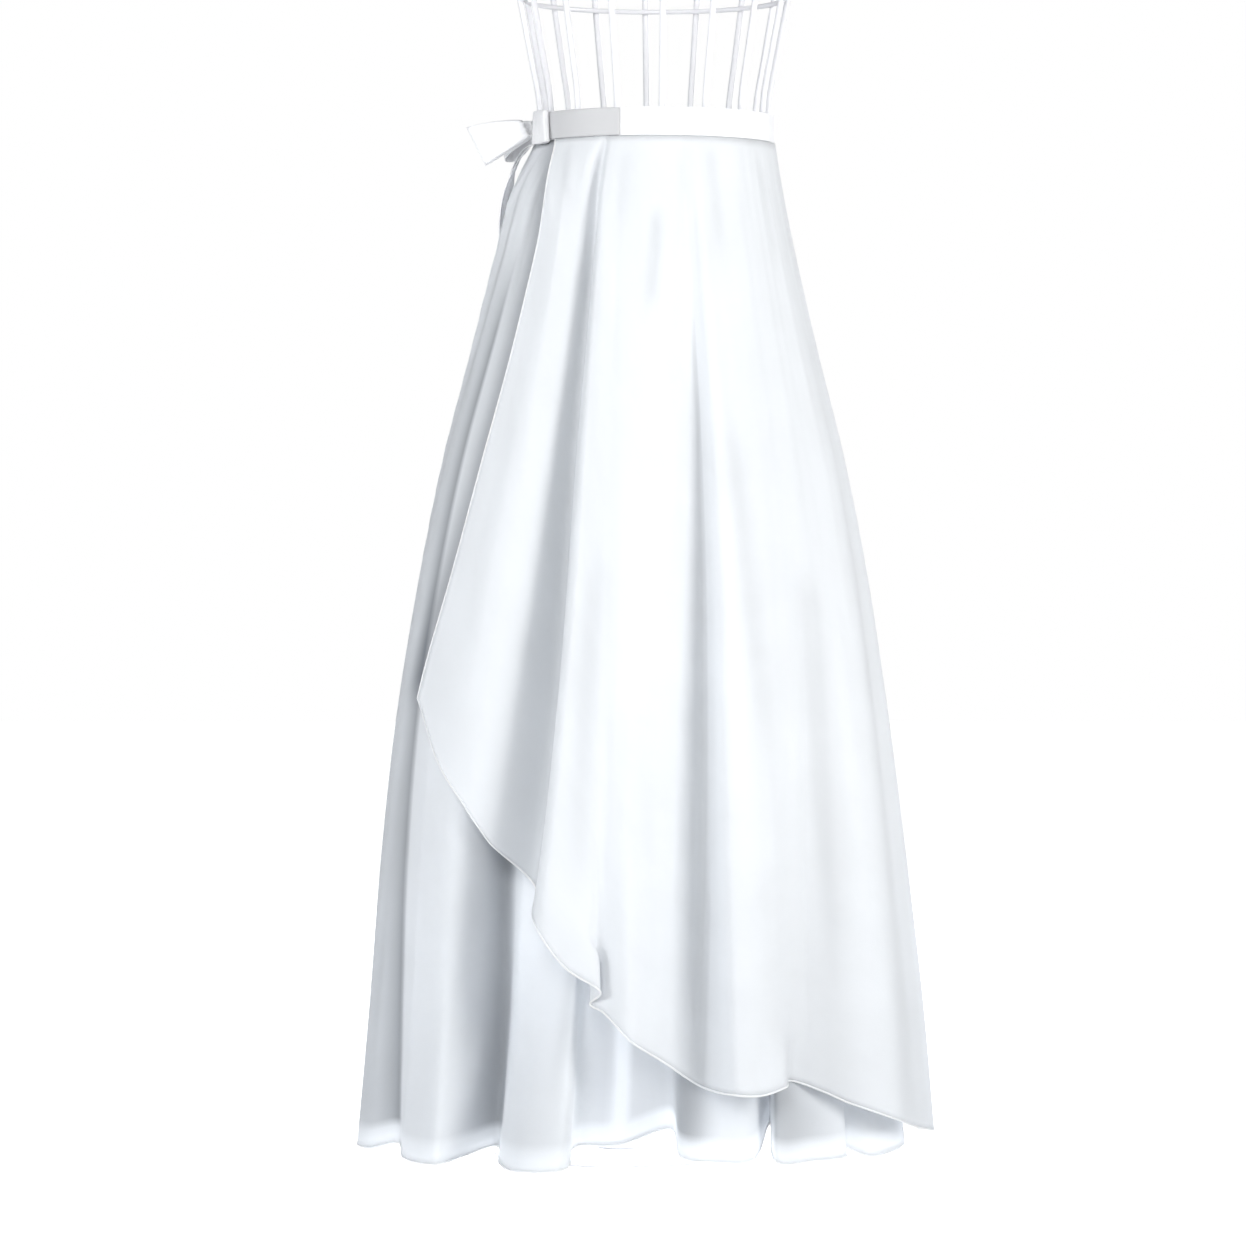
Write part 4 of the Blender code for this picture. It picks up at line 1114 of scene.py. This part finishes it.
def band_point(degrees, outward):
    x = BODY_X + np.sin(np.radians(degrees)) * (BAND_HALF_WIDTH + outward)
    y = -np.cos(np.radians(degrees)) * (BAND_HALF_DEPTH + outward)
    return x, y


class SKIRT_OT_waistband(bpy.types.Operator):
    """Model the waistband with its topstitching"""

    bl_idname = "skirt.waistband"
    bl_label = "Waistband"

    def execute(self, context):
        settings = context.scene.skirt_ribbon
        degrees = np.linspace(BAND_UNDER_END, BAND_OVER_END - 360.0, 420)
        rise = np.clip((BAND_OVER_END - degrees) / (BAND_OVER_END - (BAND_UNDER_END - 360.0)), 0.0, 1.0)
        outward = -BAND_LAYER_STEP * (1.0 - rise) - BAND_WALL / 2
        wave = 0.00022 * np.sin(np.radians(degrees) * 9.0 + 0.6) + 0.00014 * np.sin(np.radians(degrees) * 23.0)
        path, out, up = band_line(degrees, outward + wave, BAND_BOTTOM + BAND_HEIGHT / 2)
        material = ribbon_material("satin ribbon", settings)
        band = add_ribbon("waistband_satin", path, out, up, BAND_HEIGHT, BAND_WALL - 0.0002, material, 0.00015)
        finish_piece(band, "ribbon", "waistband")
        thread = ribbon_material("sewing thread", settings, 0.94)
        rows = []
        for side in (-1.0, 1.0):
            line = path + out * (BAND_WALL / 2 - 0.00005) + up * side * (BAND_HEIGHT / 2 - 0.0025)
            rows.append(add_stitches(f"band_stitches_{'low' if side < 0 else 'high'}", line, out,
                                     settings.stitch_length, settings.stitch_radius, thread))
        for row in rows:
            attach(row, "root")
        return {"FINISHED"}


class SKIRT_OT_tie(bpy.types.Operator):
    """Model the tie that lies on the band from its slit to the knot"""

    bl_idname = "skirt.tie"
    bl_label = "Front tie"

    def execute(self, context):
        settings = context.scene.skirt_ribbon
        degrees = np.linspace(TIE_FRONT_START, TIE_FRONT_END, 60)
        outward = TIE_FRONT_GAP + TIE_WALL / 2
        path, out, up = band_line(degrees, outward, BAND_BOTTOM + BAND_HEIGHT / 2)
        # The tie gets a darker copy of the band's satin: painted shade.
        material = ribbon_material("satin ribbon tie painted shade", settings, settings.tie_painted_shade)
        tie = add_ribbon("tie_front_satin", path, out, up, TIE_WIDTH, TIE_WALL - 0.0003, material, 0.0002)
        finish_piece(tie, "ribbon", "tie_front")
        return {"FINISHED"}


# The knot is pulled a little forward over the tie, and spread out.
KNOT_SPREAD = 1.6
KNOT_FORWARD = 0.0058


def knot_frame():
    """The knot's middle, and unit vectors out from the body and back along the band."""
    x, y = band_point(KNOT_ANGLE, SEAM_GAP + KNOT_DEPTH / 2)
    out = Vector((math.sin(math.radians(KNOT_ANGLE)) / BAND_HALF_WIDTH,
                  -math.cos(math.radians(KNOT_ANGLE)) / BAND_HALF_DEPTH, 0.0)).normalized()
    rearward = Vector((out.y, -out.x, 0.0))
    return Vector((float(x), float(y), BAND_BOTTOM + BAND_HEIGHT / 2 - KNOT_SAG)), out, rearward


Loop = namedtuple("Loop", "name reach gape droop lean wide narrow aim_x aim_y root_rear root_out")
LOOPS = (
    Loop("bow_loop_left", 0.050, 0.0170, 0.018, -0.50, 0.042, 0.018, -1.00, 0.02, 0.0114, 0.0070),
    Loop("bow_loop_back", 0.048, 0.0144, 0.012, -0.20, 0.036, 0.016, -0.58, 0.81, 0.0110, -0.0010),
)
LOOP_ROOT_GAPE = 0.12


def loop_surface(loop, steps, across_steps):
    """A ribbon that leaves the knot, turns at its far end and comes back, pinched and creased where it is tied."""
    centre, out, rearward = knot_frame()
    aim = Vector((loop.aim_x, loop.aim_y, 0.0)).normalized()
    sideways = Vector((0.0, 0.0, 1.0)).cross(aim).normalized()
    across = (Vector((0.0, 0.0, 1.0)) - aim * loop.lean).normalized()
    root = centre + rearward * loop.root_rear + out * loop.root_out
    rows = []
    for step in range(steps):
        u = step / (steps - 1)
        swell = math.sin(math.pi * u)
        along = loop.reach * swell**0.85
        side = loop.gape * math.cos(math.pi * u) * (LOOP_ROOT_GAPE + swell)
        half = (loop.narrow + (loop.wide - loop.narrow) * swell**0.7) / 2
        point = root + aim * along + sideways * side - Vector((0.0, 0.0, loop.droop * swell))
        row = []
        for k in range(across_steps):
            v = 1.0 - 2.0 * k / (across_steps - 1)
            pleat = 0.0012 * (1.0 - swell) * math.cos(3.0 * math.pi * v)
            bow = 0.0016 * swell * math.cos(math.pi * v * 0.5 + 0.5)
            turn = 1.0 if u < 0.5 else -1.0
            row.append(point + across * half * v + sideways * (pleat + bow * turn))
        rows.append(row)
    return np.array([[tuple(p) for p in row] for row in rows]).transpose(1, 0, 2)


Tail = namedtuple("Tail", "name start end length lift_knot lift_hip")
TAILS = (
    Tail("tie_tail_side", -70.5, -134.0, 0.225, 0.0035, 0.0045),
    Tail("tie_tail_back", -69.0, -150.0, 0.190, 0.0066, 0.0080),
)


def tail_surface(tail, rows_down, across_steps):
    """A ribbon end that comes out under the knot and hangs over the hip, with a crease along it."""
    rows = []
    for step in range(rows_down):
        down = (step / (rows_down - 1)) ** 1.5
        height = BAND_BOTTOM - TAIL_DROP - tail.length * down
        middle = tail.start + (tail.end - tail.start) * down**0.45
        spread = min(1.0, 3 * down)
        half = math.degrees(TIE_WIDTH / 2 / TAIL_TURN_RADIUS) * (0.5 + 0.5 * spread)
        lift = tail.lift_knot + (tail.lift_hip - tail.lift_knot) * spread
        row = []
        for k in range(across_steps):
            side = -1.0 + 2.0 * k / (across_steps - 1)
            crease = 0.0009 * math.exp(-((side - 0.15) / 0.25) ** 2) + 0.0006 * math.sin(7.0 * down + 2.0 * side)
            x, y = outline_point(SKIRT_OUTLINE, middle + side * half, height, lift + crease * spread)
            row.append((float(x), float(y), height + side * TAIL_SLANT * spread))
        rows.append(row)
    return np.array(rows)


class SKIRT_OT_bow(bpy.types.Operator):
    """Model the knot, its two loops and the two tails"""

    bl_idname = "skirt.bow"
    bl_label = "Bow"

    def execute(self, context):
        settings = context.scene.skirt_ribbon
        material = ribbon_material("satin ribbon", settings)
        # The knot gets a darker copy of the band's satin: painted shade.
        self.make_knot(ribbon_material("satin ribbon knot painted shade", settings, settings.knot_painted_shade))
        for loop in LOOPS:
            obj = add_sheet(loop.name + "_satin", loop_surface(loop, 64, 14), 0.0008, material)
            finish_piece(obj, "ribbon", loop.name)
        for tail in TAILS:
            obj = add_sheet(tail.name + "_satin", tail_surface(tail, 60, 13)[:, ::-1], 0.0008, material, 1.0)
            finish_piece(obj, "ribbon", tail.name)
        return {"FINISHED"}

    def make_knot(self, material):
        """A soft tapered wrap of ribbon with two pleats down its face."""
        centre, out, rearward = knot_frame()
        bpy.ops.object.select_all(action="DESELECT")
        bpy.ops.mesh.primitive_cube_add(size=2.0)
        knot = bpy.context.object
        knot.name = knot.data.name = "bow_knot_satin"
        bpy.ops.object.mode_set(mode="EDIT")
        bpy.ops.mesh.select_all(action="SELECT")
        bpy.ops.mesh.subdivide(number_cuts=17)
        bpy.ops.object.mode_set(mode="OBJECT")
        for vertex in knot.data.vertices:
            across, deep, up = vertex.co
            taper = KNOT_TAPER + (1.0 - KNOT_TAPER) * (1.0 - up) / 2
            waist = 1.0 - 0.06 * (1.0 - up * up)
            edge = (1.0 - 0.30 * abs(across) ** 3) * (1.0 - 0.12 * up**4)
            pleat = sum(math.exp(-(((across - at - 0.10 * up) / 0.10) ** 2)) for at in (-0.30, 0.34))
            x = across * KNOT_WIDTH / 2 * KNOT_SPREAD * taper * waist * (1.0 - 0.08 * abs(deep) ** 3)
            x -= KNOT_FORWARD
            y = deep * KNOT_DEPTH / 2 * edge - (0.0007 * pleat if deep > 0.9 else 0.0)
            z = up * KNOT_HEIGHT / 2 * (1.0 - 0.05 * across * across)
            vertex.co = centre + rearward * x + out * y + Vector((0.0, 0.0, z))
        knot.data.materials.append(material)
        smooth = knot.modifiers.new("Soften", "SUBSURF")
        smooth.levels = smooth.render_levels = 1
        apply_modifiers(knot)
        face_outward(knot)
        knot.data.shade_smooth()
        self.unwrap(knot)
        finish_piece(knot, "ribbon", "bow_knot")

    def unwrap(self, knot):
        """The threads run round the knot, level with the ground."""
        centre, out, rearward = knot_frame()
        uv = knot.data.uv_layers.get("Weave") or knot.data.uv_layers.new(name="Weave")
        for other in [layer for layer in knot.data.uv_layers if layer.name != "Weave"]:
            knot.data.uv_layers.remove(other)
        uv = knot.data.uv_layers["Weave"]
        for corner in knot.data.loops:
            place = knot.data.vertices[corner.vertex_index].co - centre
            uv.data[corner.index].uv = (place.dot(rearward) + place.dot(out), place.z)


def form_point(degrees, height, inward):
    x, y = outline_point(FORM_OUTLINE, degrees, height, -inward)
    return (float(x), float(y), height)


class SKIRT_OT_cage(bpy.types.Operator):
    """Model the upright wires, the hoops and the weld beads of the dress form"""

    bl_idname = "skirt.cage"
    bl_label = "Wire cage"

    def execute(self, context):
        settings = context.scene.skirt_form
        material = enamel_material("powder coat", settings)
        heights = [row.height for row in FORM_OUTLINE]
        fine = np.unique(np.concatenate([np.linspace(a, b, 5) for a, b in zip(heights, heights[1:])]))
        inward = 2 * WIRE_RADIUS + RING_RADIUS + SEAM_GAP
        corners = WIRE_TURN + np.arange(WIRE_COUNT) * 360.0 / WIRE_COUNT
        for number, degrees in enumerate(corners):
            points = [form_point(degrees, height, WIRE_RADIUS) for height in fine]
            wire = add_tube(f"cage_wire_{number + 1:02d}", points, WIRE_RADIUS, settings.tube_sides, material)
            finish_piece(wire, "enamel", f"form_wire_{number + 1:02d}")
        for name, height in FORM_RINGS:
            turn = np.linspace(0.0, 360.0, 96, endpoint=False)
            ring = add_tube(name.replace("form", "cage"), [form_point(a, height, inward) for a in turn], RING_RADIUS,
                            settings.tube_sides, material, closed=True)
            beads = self.make_beads(name, height, corners, settings.weld_radius, material)
            finish_piece(join(name.replace("form", "cage"), [ring, beads]), "enamel", name)
        return {"FINISHED"}

    def make_beads(self, name, height, corners, radius, material):
        """Small weld beads between the hoop and each wire."""
        beads = []
        for degrees in corners:
            bpy.ops.object.select_all(action="DESELECT")
            bpy.ops.mesh.primitive_uv_sphere_add(segments=10, ring_count=6, radius=radius,
                                                 location=form_point(degrees, height, 2 * WIRE_RADIUS))
            bead = bpy.context.object
            bead.scale = (1.0, 1.0, 0.8)
            bead.data.materials.append(material)
            bead.data.shade_smooth()
            apply_place(bead)
            beads.append(bead)
        return join(name + "_beads", beads)


def add_drum(name, radius, low, high, sides, material, at=(0.0, 0.0), top_radius=None):
    """An upright round block, as a cylinder or a cone."""
    bpy.ops.object.select_all(action="DESELECT")
    place = (at[0], at[1], (low + high) / 2)
    if top_radius is None:
        bpy.ops.mesh.primitive_cylinder_add(vertices=sides, radius=radius, depth=high - low, location=place)
    else:
        bpy.ops.mesh.primitive_cone_add(vertices=sides, radius1=radius, radius2=top_radius, depth=high - low,
                                        location=place)
    obj = bpy.context.object
    obj.name = obj.data.name = name
    obj.data.materials.append(material)
    apply_place(obj)
    return obj


def raise_top(obj, inset, lift):
    """Insets the top face and lifts its middle."""
    top = max(polygon.center.z for polygon in obj.data.polygons)
    for element in (*obj.data.vertices, *obj.data.edges, *obj.data.polygons):
        element.select = False
    for polygon in obj.data.polygons:
        polygon.select = polygon.center.z > top - 1e-6 and polygon.normal.z > 0.9
    select_only(obj)
    bpy.ops.object.mode_set(mode="EDIT")
    bpy.ops.mesh.select_mode(type="FACE")
    bpy.ops.mesh.inset(thickness=inset, depth=0.0)
    bpy.ops.transform.translate(value=(0.0, 0.0, lift))
    bpy.ops.object.mode_set(mode="OBJECT")


def round_edges(obj, width, segments=3):
    bevel = obj.modifiers.new("Edges", "BEVEL")
    bevel.width = width
    bevel.segments = segments
    bevel.limit_method = "ANGLE"
    bevel.angle_limit = math.radians(25.0)
    apply_modifiers(obj)
    select_only(obj)
    bpy.ops.object.shade_smooth_by_angle(angle=math.radians(35.0))


class SKIRT_OT_stand(bpy.types.Operator):
    """Model the neck cap, the arms, the hub, the pole, its foot collar and the base"""

    bl_idname = "skirt.stand"
    bl_label = "Stand"

    def execute(self, context):
        material = enamel_material("powder coat", context.scene.skirt_form)
        ring_height = FORM_RINGS[0][1]
        cross_top = ring_height - RING_RADIUS - SEAM_GAP
        lower_top = cross_top - ARM_HEIGHT - SEAM_GAP
        hub_top = lower_top - ARM_HEIGHT - SEAM_GAP
        hub_low = hub_top - HUB_HEIGHT
        cap_low = FORM_OUTLINE[-1].height + 2 * SEAM_GAP
        cap = add_drum("neck_cap", NECK_CAP_RADIUS, cap_low, cap_low + NECK_CAP_HEIGHT - NECK_CAP_CROWN, 96, material,
                       (BODY_X, 0.0))
        raise_top(cap, NECK_CAP_RADIUS * 0.45, NECK_CAP_CROWN)
        round_edges(cap, NECK_CAP_CURL, 6)
        finish_piece(cap, "enamel", "form_neck_cap")
        inward = 2 * WIRE_RADIUS + SEAM_GAP
        chord = math.degrees(math.asin(BODY_X / (form_point(90.0, ring_height, inward)[0] - BODY_X)))
        for name, start, end, top in (
            ("arm_side", -90.0, 90.0, cross_top),
            ("arm_front", -chord, chord - 180.0, lower_top),
        ):
            ends = [Vector(form_point(degrees, ring_height, inward)[:2]) for degrees in (start, end)]
            self.make_arm(name, ends, top, material)
        hub = add_drum("hub", POLE_RADIUS + HUB_RIM, hub_low, hub_top - HUB_RIM, 64, material,
                       top_radius=HUB_RADIUS)
        rim = add_drum("hub_rim", HUB_RADIUS, hub_top - HUB_RIM, hub_top, 64, material)
        for piece in (hub, rim):
            round_edges(piece, 0.0008)
        finish_piece(join("hub", [hub, rim]), "enamel", "form_hub")
        pole_low = BASE_HEIGHT + FOOT_COLLAR_HEIGHT + 2 * SEAM_GAP
        pole = add_drum("pole", POLE_RADIUS, pole_low, hub_low - SEAM_GAP, 64, material)
        round_edges(pole, 0.0006)
        finish_piece(pole, "enamel", "form_pole")
        foot_low = BASE_HEIGHT + SEAM_GAP
        collar = add_drum("foot_collar", FOOT_COLLAR_RADIUS, foot_low, foot_low + FOOT_COLLAR_HEIGHT, 64, material,
                          top_radius=FOOT_COLLAR_TOP_RADIUS)
        round_edges(collar, 0.0015, 4)
        finish_piece(collar, "enamel", "form_foot_collar")
        base = add_drum("base", BASE_RADIUS, 0.0, BASE_HEIGHT, 160, material)
        round_edges(base, BASE_BEVEL, 5)
        finish_piece(base, "enamel", "form_base")
        return {"FINISHED"}

    def make_arm(self, name, ends, top, material):
        run = ends[1] - ends[0]
        bpy.ops.object.select_all(action="DESELECT")
        middle = (ends[0] + ends[1]) / 2
        bpy.ops.mesh.primitive_cube_add(size=1.0, location=(middle.x, middle.y, top - ARM_HEIGHT / 2),
                                        rotation=(0.0, 0.0, math.atan2(run.y, run.x)))
        arm = bpy.context.object
        arm.name = arm.data.name = name
        arm.scale = (run.length, ARM_WIDTH, ARM_HEIGHT)
        arm.data.materials.append(material)
        apply_place(arm)
        round_edges(arm, ARM_BEVEL)
        finish_piece(arm, "enamel", "form_" + name)


class SKIRT_OT_stage(bpy.types.Operator):
    """Add the floor, the lights and the camera"""

    bl_idname = "skirt.stage"
    bl_label = "Stage"

    def execute(self, context):
        settings = context.scene.skirt_stage
        self.make_floor(settings)
        self.make_sky(context, settings)
        for lamp in LAMPS:
            self.add_light(lamp, settings.key_power)
        self.add_camera(context)
        return {"FINISHED"}

    def make_floor(self, settings):
        bpy.ops.object.select_all(action="DESELECT")
        bpy.ops.mesh.primitive_plane_add(size=40.0)
        floor = bpy.context.object
        floor.name = floor.data.name = "floor"
        material = new_material("pale floor")
        tree = material.node_tree
        place = add_node(tree, "ShaderNodeTexCoord", (-700, 0))
        grain = add_node(tree, "ShaderNodeTexNoise", (-480, 0), Scale=3.0, Detail=6.0)
        shade = add_node(tree, "ShaderNodeMix", (-240, 0), data_type="RGBA")
        for socket in shade.inputs:
            if socket.type == "RGBA":
                level = 1.0 if socket.name == "A" else 0.995
                socket.default_value = (*(channel * level for channel in settings.floor_colour), 1.0)
        shader = add_node(tree, "ShaderNodeBsdfPrincipled", (0, 0), Roughness=0.9)
        shader.inputs["Emission Color"].default_value = (1.0, 1.0, 1.0, 1.0)
        path = add_node(tree, "ShaderNodeLightPath", (-480, -300))
        glow = add_node(tree, "ShaderNodeMapRange", (-240, -300))
        glow.inputs["To Min"].default_value = settings.floor_bounce
        glow.inputs["To Max"].default_value = settings.floor_glow
        tree.links.new(path.outputs["Is Camera Ray"], glow.inputs["Value"])
        tree.links.new(glow.outputs["Result"], shader.inputs["Emission Strength"])
        out = add_node(tree, "ShaderNodeOutputMaterial", (300, 0))
        tree.links.new(place.outputs["Object"], grain.inputs["Vector"])
        tree.links.new(grain.outputs["Fac"], shade.inputs[0])
        tree.links.new([s for s in shade.outputs if s.type == "RGBA"][0], shader.inputs["Base Color"])
        tree.links.new(shader.outputs["BSDF"], out.inputs["Surface"])
        floor.data.materials.append(material)

    def make_sky(self, context, settings):
        """White behind the object, and a softer light from all round."""
        world = bpy.data.worlds.new("Studio")
        context.scene.world = world
        world.use_nodes = True
        tree = world.node_tree
        tree.nodes.clear()
        light = add_node(tree, "ShaderNodeBackground", (0, 100), Color=(0.90, 0.95, 1.0, 1.0), Strength=settings.sky)
        seen = add_node(tree, "ShaderNodeBackground", (0, -100), Color=(1.0, 1.0, 1.0, 1.0), Strength=1.0)
        path = add_node(tree, "ShaderNodeLightPath", (0, 400))
        blend = add_node(tree, "ShaderNodeMixShader", (250, 0))
        out = add_node(tree, "ShaderNodeOutputWorld", (450, 0))
        tree.links.new(path.outputs["Is Camera Ray"], blend.inputs[0])
        tree.links.new(light.outputs[0], blend.inputs[1])
        tree.links.new(seen.outputs[0], blend.inputs[2])
        tree.links.new(blend.outputs[0], out.inputs["Surface"])

    def add_light(self, lamp, power):
        light = bpy.data.lights.new(lamp.name, "AREA")
        light.energy = power * lamp.share
        light.size = lamp.size
        light.color = lamp.colour
        obj = bpy.data.objects.new(lamp.name, light)
        collection().objects.link(obj)
        obj.visible_camera = False
        obj.location = lamp.place
        obj.rotation_euler = (Vector(lamp.target) - Vector(lamp.place)).to_track_quat("-Z", "Y").to_euler()

    def add_camera(self, context):
        lens = bpy.data.cameras.new("Camera")
        lens.lens = CAMERA_LENS
        lens.sensor_width = CAMERA_SENSOR
        camera = bpy.data.objects.new("Camera", lens)
        collection().objects.link(camera)
        camera.location = CAMERA_PLACE
        camera.rotation_euler = (math.pi / 2, 0.0, 0.0)
        context.scene.camera = camera
        context.scene.view_settings.view_transform = "Standard"


# Soft boxes round the front, with their share of the light's power.
Lamp = namedtuple("Lamp", "name place target size share colour")
LAMPS = (
    Lamp("Front box", (-0.7, -4.6, 2.4), (0.0, 0.0, 0.5), 1.5, 0.42, (1.0, 0.995, 0.98)),
    Lamp("Right box", (3.3, -2.3, 1.7), (0.0, 0.0, 0.5), 1.8, 0.66, (1.0, 0.995, 0.98)),
    Lamp("Left box", (-3.3, -2.6, 1.7), (0.0, 0.0, 0.5), 1.8, 0.52, (0.97, 0.985, 1.0)),
    Lamp("Back box", (0.9, 4.2, 2.2), (0.0, 0.0, 0.5), 1.8, 0.45, (1.0, 1.0, 1.0)),
    Lamp("Inner box", (0.035, 0.03, 0.30), (0.035, 0.03, 0.0), 0.20, 0.013, (1.0, 1.0, 1.0)),
)
CAMERA_LENS = 132.9
CAMERA_SENSOR = 36.0
CAMERA_PLACE = (0.004, -4.6, 0.53)


class SKIRT_PT_build(bpy.types.Panel):
    bl_label = "Wrap ballet skirt"
    bl_idname = "SKIRT_PT_build"
    bl_space_type = "VIEW_3D"
    bl_region_type = "UI"
    bl_category = "Skirt"

    def draw(self, context):
        for group, operators in STEPS:
            box = self.layout.box()
            settings = getattr(context.scene, group)
            for name in settings.bl_rna.properties.keys():
                if name not in ("rna_type", "name"):
                    box.prop(settings, name)
            for operator in operators:
                box.operator(operator)


STEPS = (
    ("skirt_cloth", ("skirt.panels",)),
    ("skirt_ribbon", ("skirt.waistband", "skirt.tie", "skirt.bow")),
    ("skirt_form", ("skirt.cage", "skirt.stand")),
    ("skirt_stage", ("skirt.stage",)),
)
SETTINGS = {
    "skirt_cloth": SkirtClothSettings,
    "skirt_ribbon": SkirtRibbonSettings,
    "skirt_form": SkirtFormSettings,
    "skirt_stage": SkirtStageSettings,
}
CLASSES = (
    *SETTINGS.values(),
    SKIRT_OT_panels,
    SKIRT_OT_waistband,
    SKIRT_OT_tie,
    SKIRT_OT_bow,
    SKIRT_OT_cage,
    SKIRT_OT_stand,
    SKIRT_OT_stage,
    SKIRT_PT_build,
)


def register():
    for cls in CLASSES:
        bpy.utils.register_class(cls)
    for name, group in SETTINGS.items():
        setattr(bpy.types.Scene, name, PointerProperty(type=group))


def unregister():
    for name in SETTINGS:
        delattr(bpy.types.Scene, name)
    for cls in reversed(CLASSES):
        bpy.utils.unregister_class(cls)


def main():
    register()
    bpy.ops.skirt.waistband()
    bpy.ops.skirt.tie()
    bpy.ops.skirt.bow()
    bpy.ops.skirt.panels()
    bpy.ops.skirt.cage()
    bpy.ops.skirt.stand()
    bpy.ops.skirt.stage()


if __name__ == "__main__":
    main()
